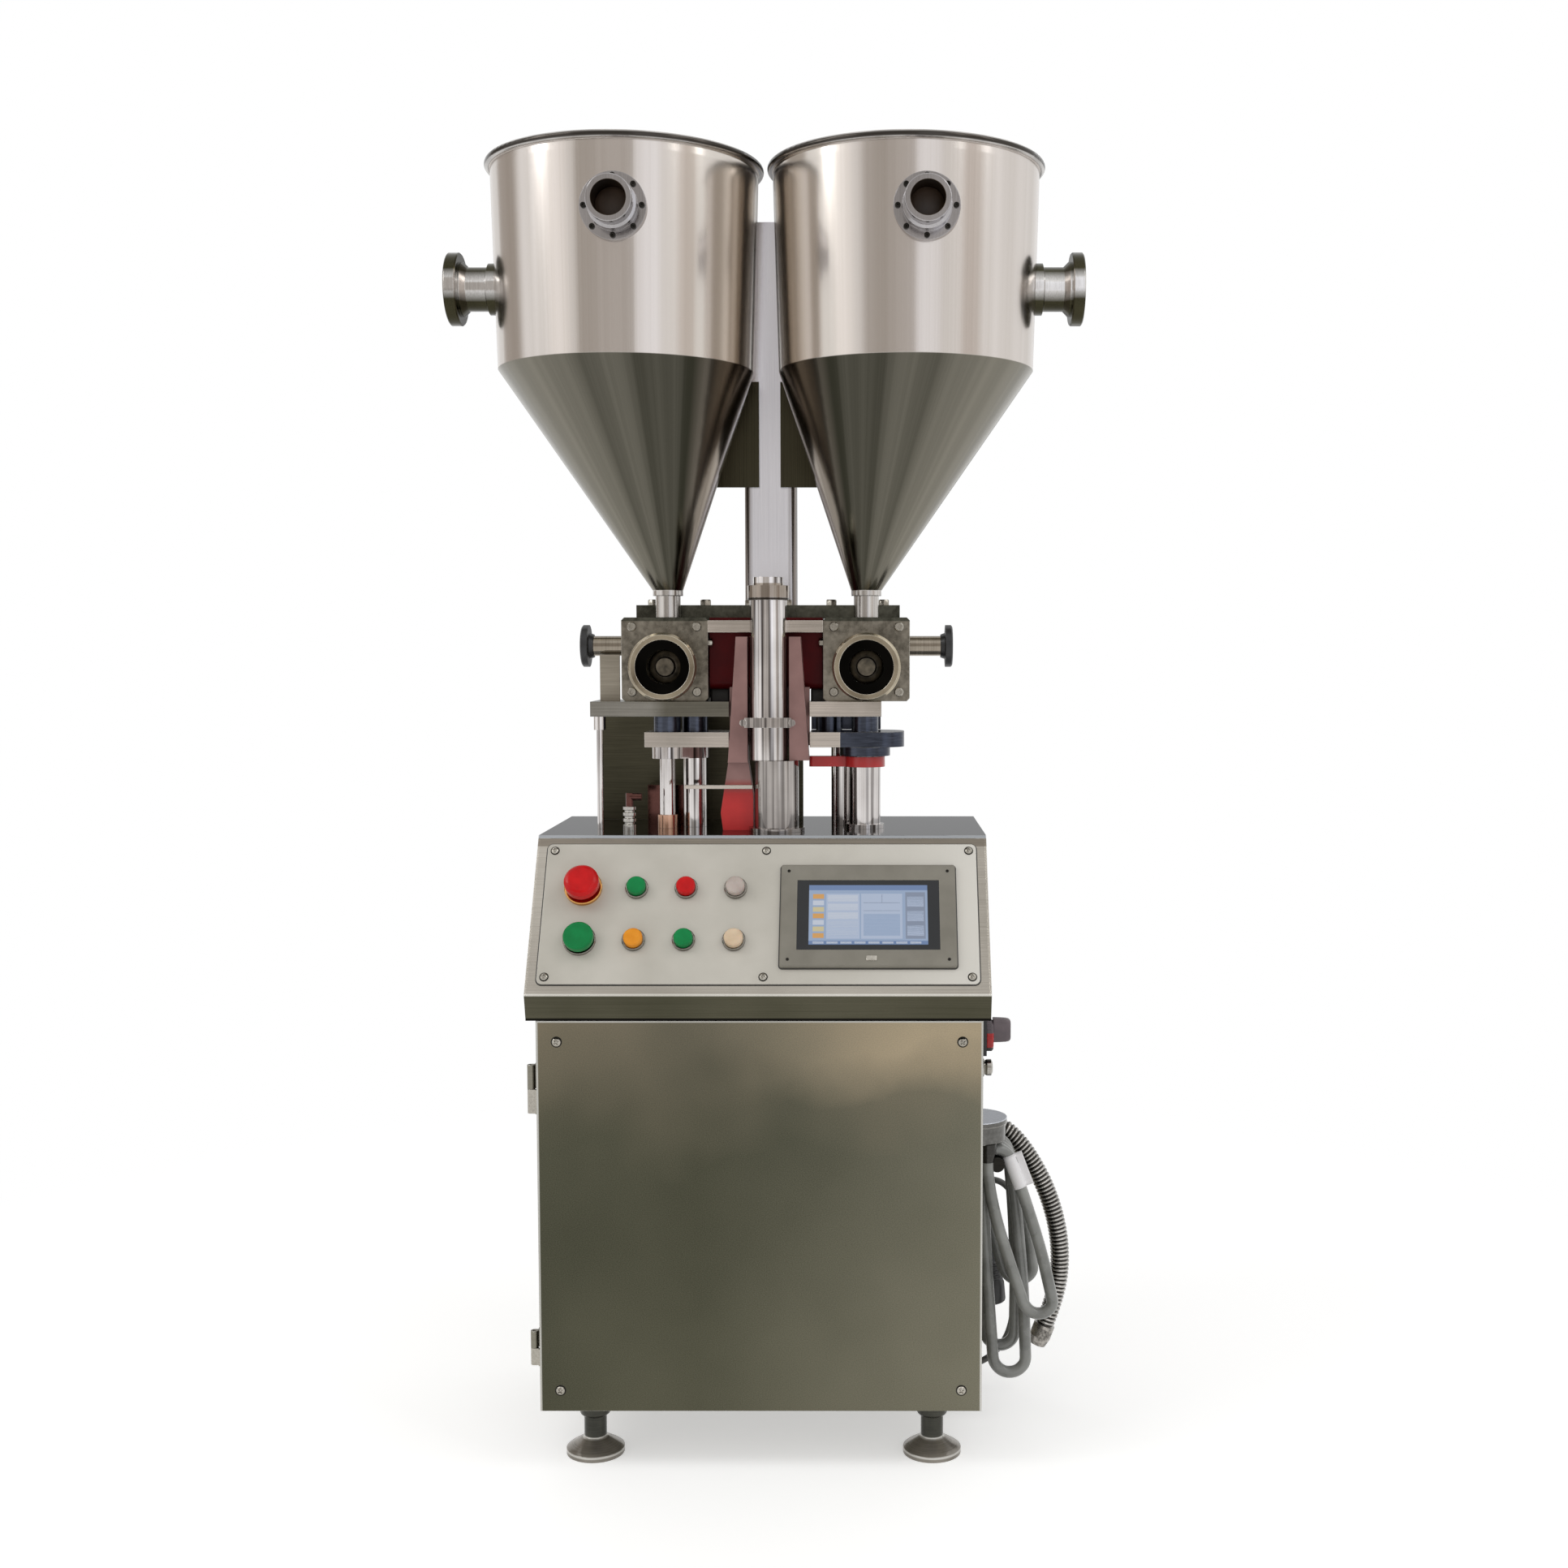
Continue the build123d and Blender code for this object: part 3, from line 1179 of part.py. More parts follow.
def cables():
    """Power cable hank with its plug, thin cable, ribbed conduit, and the pieces on the wall for them."""
    route = hank_points()
    cable, wire = cord("power_cable", route, cable_r)
    print(f"power_cable: least gap to itself {least_gap(wire, cable_r):.2f} mm")
    save("power_cable", cable)
    end_x, end_y, end_z = route[-1]
    plug = turned([
        (0, 0), (plug_r * 0.85, 0), (plug_r, -plug_l * 0.3), (plug_r, -plug_l), (0, -plug_l)])
    collar = turned([(0, 0), (cable_r + 2, 0), (cable_r + 5, -plug_l * 0.2), (0, -plug_l * 0.2)])
    lower = Pos(0, 0, -plug_l * 0.2) * plug
    save("power_plug", Plane(origin=(end_x, end_y, end_z), z_dir=-(wire % 1)).location * (collar + lower))

    low = foot_height
    thin_y = 90.0
    thin = [(cabinet_x + thin_gland_l, thin_y, 300.0), (316.0, thin_y, 300.0), (331.0, thin_y, 294.0),
            (342.0, thin_y, 281.0), (347.0, thin_y, 250.0), (344.0, thin_y, 198.0), (347.0, thin_y, 144.0),
            (345.0, thin_y, 98.0), (335.0, thin_y, 66.0), (316.0, thin_y, 43.0), (293.0, thin_y, 30.0),
            (271.0, thin_y, 29.0), (254.0, thin_y, 39.0), (245.0, thin_y, 55.0), (245.0, thin_y, 71.0)]
    thin_tube, _ = cord("thin_cable", thin, thin_cable_r)
    save("thin_cable", thin_tube)

    conduit_y = 48.0
    hose = [(cabinet_x + conduit_gland_l, conduit_y, 391.0), (318.0, conduit_y, 391.0),
            (342.0, conduit_y, 373.0), (366.0, conduit_y, 340.0), (388.0, conduit_y, 297.0),
            (403.0, conduit_y, 247.0), (408.0, conduit_y, 197.0), (402.0, conduit_y, 148.0),
            (386.0, conduit_y, 105.0)]
    radii = corner_radii(hose)
    path = FilletPolyline(*hose, radius=radii)
    wire = path.wire()
    ribs = int((wire.length - 4 * conduit_r) / conduit_rib)
    first = (wire.length - ribs * conduit_rib) / 2
    stations = [(0.0, conduit_root_r), (first, conduit_root_r)]
    for i in range(ribs):
        base = first + i * conduit_rib
        stations += [(base + conduit_rib * share, r) for share, r in (
            (0.15, conduit_root_r), (0.3, conduit_r), (0.75, conduit_r), (0.9, conduit_root_r))]
    stations.append((wire.length, conduit_root_r))
    rings = []
    for length, r in stations:
        t = min(length / wire.length, 1.0)
        rings.append(Plane(origin=wire @ t, x_dir=(0, 1, 0), z_dir=wire % t) * Circle(r))
    tube = loft(rings, ruled=True)
    tube -= sweep(Plane(origin=wire @ 0, z_dir=wire % 0) * Circle(conduit_bore_r), path=path)
    print(f"conduit: length {wire.length:.0f} mm, {ribs} ribs, least radius {min(radii):.1f} mm")
    save("conduit", tube)
    tail = turned([
        (0, 0), (conduit_end_r, 0), (conduit_end_r, conduit_end_l * 0.6),
        (conduit_end_r * 0.8, conduit_end_l), (0, conduit_end_l)])
    save("conduit_end", Plane(origin=wire @ 1, x_dir=(0, 1, 0), z_dir=wire % 1).location * tail)

    half_room = block(cabinet_x, cabinet_x + 2 * entry_lid_r, entry_box_y - 2 * entry_lid_r,
                      entry_box_y + 2 * entry_lid_r, entry_low_z, entry_low_z + entry_box_h)
    lid_z = entry_low_z + entry_box_h - entry_lid_h
    entry = bar_z(entry_low_z, lid_z, cabinet_x, entry_box_y, entry_box_r)
    entry += bar_z(lid_z, lid_z + entry_lid_h, cabinet_x, entry_box_y, entry_lid_r)
    save("cable_entry_box", entry & half_room)

    bar = bar_y(hanger_front_y, hanger_back_y, hanger_axis_x, hanger_axis_z, hanger_r)
    bar += block(cabinet_x, hanger_axis_x + hanger_r, hanger_back_y, hanger_back_y + hanger_plate_t,
                 hanger_axis_z - hanger_plate_h / 2, hanger_axis_z + hanger_plate_h / 2)
    save("cable_hanger", bar)

    start = route[0]
    gland = turned([
        (0, 0), (cable_r + 0.5, 0), (gland_r - 1, gland_l * 0.5), (gland_r, gland_l * 0.5),
        (gland_r, gland_l), (0, gland_l)])
    port_z = switch_axis_z - air_port_below_switch
    port = Pos(cabinet_x, switch_y, port_z) * Rot(0, 90, 0) * turned([
        (0, 0), (air_port_r, 0), (air_port_r, air_port_l * 0.35), (air_port_r * 0.8, air_port_l * 0.45),
        (air_port_r * 0.9, air_port_l * 0.6), (air_port_r * 0.9, air_port_l * 0.9),
        (air_port_r * 0.6, air_port_l), (0, air_port_l)])
    save("wall_fittings",
         port,
         Pos(*start) * gland,
         bar_x(cabinet_x, thin[0][0], thin[0][1], thin[0][2], thin_gland_r),
         bar_z(thin[-1][2], low, thin[-1][0], thin[-1][1], thin_gland_r),
         bar_x(cabinet_x, hose[0][0], hose[0][1], hose[0][2], conduit_gland_r))


def build():
    levelling_feet()
    screws = cabinet()
    left_door()
    screws += console()
    save("cover_screws", *screws)
    push_buttons()
    touch_screen()
    mains_switch()
    control_gear()
    centre_column()
    front_of_leg = red_bracket()
    link = guards_and_fittings(front_of_leg)
    support_frame(link)
    dose_lever()
    bolts = valve_heads()
    pistons()
    hoppers()
    bolts += hopper_ports()
    save("machine_bolts", *bolts)
    hopper_post()
    cables()


build()
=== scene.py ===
import math

import bmesh
import bpy
import numpy as np
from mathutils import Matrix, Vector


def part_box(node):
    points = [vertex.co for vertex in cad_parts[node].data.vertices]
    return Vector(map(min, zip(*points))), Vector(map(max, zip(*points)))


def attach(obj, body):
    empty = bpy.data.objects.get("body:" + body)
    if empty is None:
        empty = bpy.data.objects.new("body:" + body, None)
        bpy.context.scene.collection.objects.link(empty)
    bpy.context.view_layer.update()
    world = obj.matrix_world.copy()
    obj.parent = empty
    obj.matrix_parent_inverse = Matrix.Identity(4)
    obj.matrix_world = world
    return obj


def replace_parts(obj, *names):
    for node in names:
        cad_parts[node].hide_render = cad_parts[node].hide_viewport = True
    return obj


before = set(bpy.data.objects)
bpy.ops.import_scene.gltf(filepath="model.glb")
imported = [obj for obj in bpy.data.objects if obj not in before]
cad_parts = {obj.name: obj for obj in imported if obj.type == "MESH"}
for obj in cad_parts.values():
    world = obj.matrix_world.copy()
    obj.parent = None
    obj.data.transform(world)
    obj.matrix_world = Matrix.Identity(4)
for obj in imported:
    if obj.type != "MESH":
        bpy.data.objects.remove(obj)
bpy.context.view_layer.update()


# Levelling feet: turned steel pads with a domed top, spindles and tapered collars, screwed up into the
# cabinet's floor. The steel is dark and oily, and darker on the spindle; the bright rings at the pad's rim
# and the spindle's root are painted highlights, and its lighter edges are wear and painted highlight.
def is_socket(feed):
    """True for a socket to link to, false for a value to set."""
    return isinstance(feed, bpy.types.NodeSocket)


def seen(shade):
    """Linear colour of a shade as the eye sees it, given as red, green and blue of 0 to 255."""
    share = np.array(shade) / 255
    linear = np.where(share > 0.04045, ((share + 0.055) / 1.055) ** 2.4, share / 12.92)
    return (*(float(part) for part in linear), 1.0)


def feed_node(node, numbered=None, **named):
    """Links or sets a node's sockets, given in a dictionary or named with underscores for spaces."""
    for name, feed in (numbered or named).items():
        socket = node.inputs[name.replace("_", " ") if isinstance(name, str) else name]
        if is_socket(feed):
            node.id_data.links.new(feed, socket)
        else:
            socket.default_value = feed
    return node


def shader_node(kind, feeds, tree=None, **settings):
    """Adds a shader node to the tree that its feeds come from, or to the one given."""
    tree = tree or next(feed.id_data for feed in feeds.values() if is_socket(feed))
    node = tree.nodes.new("ShaderNode" + kind)
    for name, value in settings.items():
        setattr(node, name, value)
    return feed_node(node, feeds)


def tint_between(share, low, high):
    """Colour between two, by a share; each is a socket or a shade as the eye sees it."""
    low, high = (end if is_socket(end) else seen(end) for end in (low, high))
    return shader_node("Mix", {0: share, 6: low, 7: high}, data_type="RGBA").outputs[2]


def value_between(share, low, high):
    """Number between two, by a share."""
    return shader_node("Mix", {0: share, 2: low, 3: high}, data_type="FLOAT").outputs[0]


def worked(how, first, second=0.0):
    """Result of one sum on two numbers."""
    return shader_node("Math", {0: first, 1: second}, operation=how).outputs[0]


def stretch_range(value, low, high, to_low=0.0, to_high=1.0):
    """Value carried from one range to another and held inside it."""
    ends = {"Value": value, "From Min": low, "From Max": high, "To Min": to_low, "To Max": to_high}
    return shader_node("MapRange", ends).outputs["Result"]


def speckle(where, waves, detail=3.0):
    """Soft noise with this many waves to a metre, as a share of about 0.3 to 0.7."""
    return shader_node("TexNoise", {"Vector": where, "Scale": waves, "Detail": detail}).outputs[0]


def drawn_out(where, waves):
    """Coordinates scaled to so many waves to a metre each way."""
    return shader_node("VectorMath", {0: where, 1: waves}, operation="MULTIPLY").outputs[0]


def shader_group(name, inputs, outputs):
    """Shader group with named sockets: its tree, what comes in, and the node that takes what goes out."""
    tree = bpy.data.node_groups.new(name, "ShaderNodeTree")
    for way, sockets in (("INPUT", inputs), ("OUTPUT", outputs)):
        for label, kind in sockets.items():
            tree.interface.new_socket(label, in_out=way, socket_type="NodeSocket" + kind)
    return tree, tree.nodes.new("NodeGroupInput").outputs, tree.nodes.new("NodeGroupOutput")


def brushed_grain_group():
    """Scratches are noise drawn out by Waves, in waves to a metre each way, over wide soft clouds.

    Tint runs from Dark to Light with both, roughness from Smooth to Rough, and height is the scratches.
    """
    tree, given, results = shader_group(
        "brushed_grain",
        {"Vector": "Vector", "Waves": "Vector", "Cloud": "Float", "Dark": "Color", "Light": "Color",
         "Smooth": "Float", "Rough": "Float"},
        {"Color": "Color", "Roughness": "Float", "Height": "Float"})
    scratch = speckle(drawn_out(given["Vector"], given["Waves"]), 1.0)
    cloud = speckle(given["Vector"], given["Cloud"], 4.0)
    share = stretch_range(value_between(0.6, scratch, cloud), 0.3, 0.7)
    feed_node(results, Color=tint_between(share, given["Dark"], given["Light"]), Height=scratch,
              Roughness=value_between(share, given["Smooth"], given["Rough"]))
    return tree


def edge_wear_and_sheen_group():
    """Rounds sharp edges by Radius for the light, and masks where the rounded normal leaves the face."""
    gives = {"Mask": "Float", "Normal": "Vector"}
    tree, given, results = shader_group("edge_wear_and_sheen", {"Radius": "Float"}, gives)
    rounded = shader_node("Bevel", {"Radius": given["Radius"]}, samples=4).outputs[0]
    face = shader_node("NewGeometry", {}, tree).outputs["Normal"]
    agree = shader_node("VectorMath", {0: rounded, 1: face}, operation="DOT_PRODUCT").outputs["Value"]
    feed_node(results, Mask=stretch_range(agree, 0.99, 0.75), Normal=rounded)
    return tree


brushed_grain = brushed_grain_group()
edge_wear_and_sheen = edge_wear_and_sheen_group()


def new_finish(name):
    """Material, its shader, and the piece's own coordinates in metres."""
    material = bpy.data.materials.new(name)
    material.use_nodes = True
    tree = material.node_tree
    return material, tree.nodes["Principled BSDF"], shader_node("TexCoord", {}, tree).outputs["Object"]


def grain_of(where, waves, dark, light, smooth, rough, cloud=5.0):
    """Places the brushed grain: its colour, roughness and height."""
    feeds = {"Vector": where, "Waves": waves, "Cloud": cloud, "Dark": seen(dark), "Light": seen(light),
             "Smooth": smooth, "Rough": rough}
    return shader_node("Group", feeds, node_tree=brushed_grain).outputs


def edge_of(where, radius):
    """Places the edge group: its rounded normal, and its mask for edges lightened as wear and as painted
    highlight.
    """
    return shader_node("Group", {"Radius": radius}, where.id_data, node_tree=edge_wear_and_sheen).outputs


def dented(height, normal, strength, depth=0.0003):
    """Normal after a small relief."""
    feeds = {"Height": height, "Normal": normal, "Strength": strength, "Distance": depth}
    return shader_node("Bump", feeds).outputs[0]


# Tint of lighter edges: partly rubbed wear, partly painted highlight.
edge_wear_and_highlight_tint = (226, 222, 214)


def metal(name, dark, light, smooth, rough, waves=(20, 20, 1500), cloud=5.0, edge=0.0006, edge_wear_and_highlight=0.35,
          dent=0.03, patches=(), graze=1.0, metallic=1.0):
    """Metal with brushed grain, its edges softly rounded and made lighter, as rubbed wear and as painted
    highlight.

    Each patch is a mask, which is made from the coordinates, and the dark and light shades of the place that
    it masks. Graze is the share of light kept at a flat glance.
    """
    material, shader, where = new_finish(name)
    grain = grain_of(where, waves, dark, light, smooth, rough, cloud)
    rim = edge_of(where, edge)
    # Edges lightened as wear and as painted highlight.
    colour = tint_between(worked("MULTIPLY", rim["Mask"], edge_wear_and_highlight), grain["Color"], edge_wear_and_highlight_tint)
    for mask, patch_dark, patch_light in patches:
        inner = grain_of(where, waves, patch_dark, patch_light, smooth, rough, cloud)
        colour = tint_between(mask(where), colour, inner["Color"])
    feed_node(shader, Base_Color=colour, Roughness=grain["Roughness"], Metallic=metallic,
              Specular_Tint=(graze, graze, graze, 1.0),
              Normal=dented(grain["Height"], rim["Normal"], dent))
    return material


def along(where, axis, middle=None):
    """One of the three coordinates, or how far it is from a middle."""
    value = shader_node("SeparateXYZ", {"Vector": where}).outputs[axis]
    return value if middle is None else worked("ABSOLUTE", worked("SUBTRACT", value, middle))


def past(value, limit):
    """One where the value is past the limit, with a step a millimetre wide."""
    return stretch_range(value, limit - 0.0005, limit + 0.0005)


def short_of(value, limit, soft=0.0005):
    """One where the value falls short of the limit, with a step twice as wide as soft."""
    return stretch_range(value, limit + soft, limit - soft)


def within(axis, low=None, high=None, middle=None):
    """Mask of what lies past low and short of high along an axis, or that far from a middle."""
    def mask(where):
        value = along(where, axis, middle)
        if high is None:
            return past(value, low)
        if low is None:
            return short_of(value, high)
        return worked("MULTIPLY", past(value, low), short_of(value, high))
    return mask


def joined(how, *masks):
    """Mask of several: what they share with MULTIPLY, all of them with MAXIMUM."""
    def mask(where):
        found = masks[0](where)
        for other in masks[1:]:
            found = worked(how, found, other(where))
        return found
    return mask


def dress(material, *names):
    """Gives CAD nodes their finish."""
    for name in names:
        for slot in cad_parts[name].material_slots:
            slot.material = material


def placed(name, data, body="machine"):
    """Piece of a mesh or curve that rides on a body."""
    piece = bpy.data.objects.new(name, data)
    bpy.context.scene.collection.objects.link(piece)
    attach(piece, body)
    return piece


def grid_piece(name, points, material, body="machine", sharp=35, closed=True):
    """Piece of like grids, points[copy, row, column]: closed columns meet, and one-point rows are poles.

    Doubles are merged, faces turned outwards, and edges are sharp past an angle.
    """
    copies, rows, columns, _ = points.shape
    strips = columns if closed else columns - 1
    row, column = np.meshgrid(np.arange(rows - 1), np.arange(strips), indexing="ij")
    beyond = (column + 1) % columns
    quad = np.stack([row * columns + column, row * columns + beyond, (row + 1) * columns + beyond,
                     (row + 1) * columns + column], -1).reshape(1, -1, 4)
    faces = (quad + np.arange(copies).reshape(-1, 1, 1) * rows * columns).reshape(-1, 4)
    mesh = bpy.data.meshes.new(name)
    mesh.from_pydata(points.reshape(-1, 3).tolist(), [], faces.tolist())
    clean = bmesh.new()
    clean.from_mesh(mesh)
    bmesh.ops.remove_doubles(clean, verts=clean.verts, dist=1e-6)
    bmesh.ops.recalc_face_normals(clean, faces=clean.faces)
    clean.to_mesh(mesh)
    clean.free()
    mesh.polygons.foreach_set("use_smooth", [True] * len(mesh.polygons))
    mesh.set_sharp_from_angle(angle=math.radians(sharp))
    mesh.materials.append(material)
    return placed(name, mesh, body)


def set_out(shape, places, axis, across=(1.0, 0.0, 0.0)):
    """Copies of a grid with its Z along axis and its X along across, one at each place."""
    up = np.array(axis, float)
    side = np.array(across, float)
    turn = np.stack([side, np.cross(up, side), up])
    return shape[None] @ turn + np.array(places)[:, None, None, :]


def full_turn(columns=48):
    """Angles evenly round one turn."""
    return np.linspace(0, 2 * np.pi, columns, endpoint=False)


def circle(columns=48):
    """Points of a circle of radius one."""
    return np.stack([np.cos(full_turn(columns)), np.sin(full_turn(columns))], -1)


def stacked(rows):
    """Grid of flat outlines, each at its height."""
    return np.stack([np.column_stack([outline, np.full(len(outline), z)]) for outline, z in rows])


def lathe(profile, columns=48):
    """Grid of a profile of radius and height, turned about Z."""
    return stacked([(r * circle(columns), z) for r, z in profile])


pad_edge_z = 0.007
dome_top_z = 0.022
upward = (0, 0, 1)
foot_spindle = (within("Z", dome_top_z), (42, 43, 37), (84, 83, 74))
# Bright rings at the pad's rim and the spindle's root: painted highlights.
painted_highlight_rings = (joined("MAXIMUM", within("Z", pad_edge_z - 0.0026, pad_edge_z),
                      within("Z", dome_top_z - 0.0012, dome_top_z + 0.0016)),
               (186, 183, 176), (224, 222, 216))
foot_steel = metal("foot_steel", (108, 103, 95), (164, 158, 149), 0.14, 0.26, cloud=25.0, edge=0.0022,
                   edge_wear_and_highlight=0.7, metallic=0.55, patches=[foot_spindle, painted_highlight_rings])
dress(foot_steel, "levelling_feet")
foot_spots = [(x, y, 0) for x in (-0.221, 0.221) for y in (-0.128, 0.106)]
collar_rows = [(0, 0.0735), (0.0201, 0.0735), (0.0201, 0.0550), (0.0193, 0.0530), (0.0168, 0.0508),
               (0.0148, 0.0500), (0, 0.0500)]
grid_piece("foot_collars", set_out(lathe(collar_rows), foot_spots, upward), foot_steel)

# Cabinet: a welded square-tube frame with folded stainless sheets on its sides, back and floor, brushed
# along their length. The sheets' edges are bright, as wear and as painted highlight.
# Lighter edges of the sheets: wear and painted highlight.
dress(metal("sheet_steel", (112, 109, 98), (142, 138, 126), 0.22, 0.34, waves=(8, 8, 1500), edge=0.0012,
            edge_wear_and_highlight=0.7), "cabinet_panels", "left_door")
dress(metal("tube_steel", (120, 118, 110), (146, 143, 134), 0.3, 0.4), "inner_frame")

# Front cover: one stainless sheet with a satin, oily face, held by four corner screws. Its dark olive-grey
# is painted reflection of the floor; it grows lighter to the right and brighter over its upper part in an
# uneven arc, both painted reflection, and the bright lines along its folded edges are painted highlights.
cover_side_x = 0.282
cover_top_z = 0.585
fold_w = 0.0024
fold_h = 0.0022


def ramp(axis, low, high, middle=None, noise=None):
    """Mask that grows from low to high along an axis; noise is its waves to a metre, detail and height."""
    def mask(where):
        value = along(where, axis, middle)
        if noise:
            waves, detail, height = noise
            value = worked("ADD", value, worked("MULTIPLY", speckle(where, waves, detail), height))
        return stretch_range(value, low, high)
    return mask


# Painted reflection: lighter to the right and brighter in an arc over the top; painted highlights along the
# folded edges.
cover_painted_light = [
    (ramp("X", -0.08, 0.28), (82, 82, 69), (130, 126, 110)),
    (ramp("Z", 0.54, 0.74, noise=(5.0, 2.0, 0.24)), (104, 100, 87), (142, 129, 107)),
    (joined("MULTIPLY", ramp("Z", 0.575, 0.67, noise=(6.0, 3.0, 0.20)), ramp("X", -0.06, 0.20)),
     (140, 132, 113), (192, 172, 141)),
    (joined("MAXIMUM", within("X", cover_side_x - fold_w, middle=0.0), within("Z", cover_top_z - fold_h)),
     (164, 162, 154), (214, 213, 208))]
dress(metal("cover_steel", (59, 60, 48), (100, 98, 82), 0.26, 0.38, waves=(700, 700, 900), cloud=2.2,
            edge=0.0014, edge_wear_and_highlight=0.75, patches=cover_painted_light), "front_panel")

# Cover and panel screws: domed nickel heads with a cross recess, each on a thin dark ring that is painted
# shadow, four in the front cover's corners, six round the control panel and eight in the back of the cabinet
# and the console.
slope_foot = np.array([0.0, -0.224, 0.624])
across_slope = np.array([1.0, 0.0, 0.0])
up_slope = np.array([0.0, 0.540078, 0.841627])
off_slope = np.array([0.0, -0.841627, 0.540078])
cover_face_y = -0.190
back_face_y = 0.168
thin_disc_t = 0.0006
out_of_cover = (0, -1, 0)
out_of_back = (0, 1, 0)
half_turned = (0.8, 0, 0.6)


def on_slope(x, s, h):
    """Points on the console's slope: x across, s up the slope and h off it, all in metres."""
    x, s, h = (np.array(part, float)[..., None] for part in (x, s, h))
    return slope_foot + x * across_slope + s * up_slope + h * off_slope


def cross_head(r, h):
    """Domed head of radius r and height h on its thin disc: rings from the middle out, sunk by a cross."""
    rings = np.array([0, 0.1, 0.18, 0.26, 0.36, 0.46, 0.54, 0.62, 0.74, 0.86, 0.95, 1.0])
    x, y = np.moveaxis(rings[:, None, None] * circle(64), -1, 0)
    crown = h * (1 - 0.7 * rings[:, None] ** 2.6)
    in_cross = (np.minimum(np.abs(x), np.abs(y)) < 0.13) & (np.hypot(x, y) < 0.58)
    top = np.stack([x * r, y * r, thin_disc_t + crown - np.where(in_cross, 0.6 * h, 0)], -1)
    foot = top[-1:] * np.array([1, 1, 0])
    return np.concatenate([top, foot, foot * 0])


def thin_disc(r):
    """Thin round disc with a soft edge."""
    return lathe([(0, thin_disc_t), (r * 0.93, thin_disc_t), (r, thin_disc_t * 0.6), (r, 0), (0, 0)])


nickel = metal("nickel", (138, 134, 124), (190, 185, 175), 0.14, 0.26, waves=(500, 500, 500), edge=0.0004)
black_oxide = metal("black_oxide", (30, 29, 27), (52, 50, 46), 0.25, 0.4, edge=0.0003, edge_wear_and_highlight=0.2)
cover_spots = [(x, cover_face_y, z) for x in (-0.256, 0.256) for z in (0.107, 0.558)]
panel_spots = [on_slope(x, s, 0.002) for x in (-0.2665, 0.006, 0.2665) for s in (0.0235, 0.1987)]
back_spots = [(x, back_face_y, z) for x in (-0.256, 0.256) for z in (0.107, 0.558, 0.655, 0.778)]
large_head = cross_head(0.0055, 0.0030)
screw_grids = np.concatenate([set_out(large_head, cover_spots, out_of_cover, half_turned),
                              set_out(cross_head(0.0046, 0.0024), panel_spots, off_slope)])
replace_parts(grid_piece("cross_head_screws", screw_grids, nickel), "cover_screws")
grid_piece("back_screws", set_out(large_head, back_spots, out_of_back), nickel)
# Dark rings under the screw heads: painted shadow.
shadow_ring_grids = np.concatenate([set_out(thin_disc(0.0070), cover_spots, out_of_cover),
                               set_out(thin_disc(0.0070), back_spots, out_of_back),
                               set_out(thin_disc(0.0058), panel_spots, off_slope)])
grid_piece("screw_shadow_rings", shadow_ring_grids, black_oxide)

# Door side: lift-off hinges turned from bright bar, with leaves let into the door, and a moulded black cam
# latch that turns in it.
dress(nickel, "door_hinges")


def cloudy(where, waves, detail=3.0):
    """Soft noise drawn out to a share of 0 to 1."""
    return stretch_range(speckle(where, waves, detail), 0.3, 0.7)


def moulded(name, low, high, rough, grain=900.0, dent=0.04, coat=0.0, edge=0.0006):
    """Moulded plastic or rubber: near-even colour, fine grain in the surface, rounded edges."""
    material, shader, where = new_finish(name)
    cloud = cloudy(where, 25.0)
    feed_node(shader, Base_Color=tint_between(cloud, low, high), Coat_Weight=coat,
              Roughness=value_between(cloud, rough * 0.85, rough * 1.15),
              Normal=dented(speckle(where, grain, 2.0), edge_of(where, edge)["Normal"], dent))
    return material


black_plastic = moulded("black_plastic", (26, 26, 27), (44, 44, 45), 0.36)
dress(black_plastic, "door_latch", "contact_blocks", "mains_switch_base", "valve_knobs")

# Console: a folded stainless housing with a sloped front; the strip under the table is darker as painted
# reflection, the fold along its nose bright as painted highlight, the lip below it dark as painted
# reflection, and a black line at its foot is painted shadow. The mirror-smooth table lies on top.
nose_z = 0.624
lip_low_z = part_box("console_housing")[0][2]
lip_shadow_h = 0.0032
strip_above_panel_z = 0.7975
# Painted light: darker strip above the panel and darker lip, bright highlight along the nose, shadow line
# under the lip.
console_painted_light = [
    (within("Z", strip_above_panel_z), (112, 105, 95), (140, 132, 121)),
    (within("Z", high=nose_z), (62, 61, 48), (90, 87, 73)),
    (within("Z", nose_z - 0.0012, nose_z + 0.0016), (190, 186, 176), (224, 221, 214)),
    (within("Z", high=lip_low_z + lip_shadow_h), (16, 15, 13), (28, 26, 23))]
dress(metal("console_steel", (142, 136, 126), (184, 178, 168), 0.2, 0.32, waves=(6, 1200, 1200),
            edge=0.0016, edge_wear_and_highlight=0.7, patches=console_painted_light), "console_housing")
dress(metal("table_steel", (144, 147, 150), (168, 171, 175), 0.06, 0.14, waves=(6, 1200, 1200),
            edge=0.0014, edge_wear_and_highlight=0.7, graze=0.64), "table_top")

# Control panel: a pale satin plate with round corners, lightly stained by hands, lighter to the right as
# painted reflection, and lighter at its edges as wear and painted highlight.
# It is screwed to the console's slope over a thin dark gasket.
panel_w = 0.552
panel_h = 0.194
panel_mid_s = 0.111
panel_corner_r = 0.007
gasket_grow = 0.003


def round_corners(w, h, r, columns=96):
    """Rectangle with round corners: the corner circle's points pushed out to the four corners."""
    angle = full_turn(columns) + np.pi / columns
    ring = np.stack([np.cos(angle), np.sin(angle)], -1)
    return ring * r + np.sign(ring) * np.array([w / 2 - r, h / 2 - r])


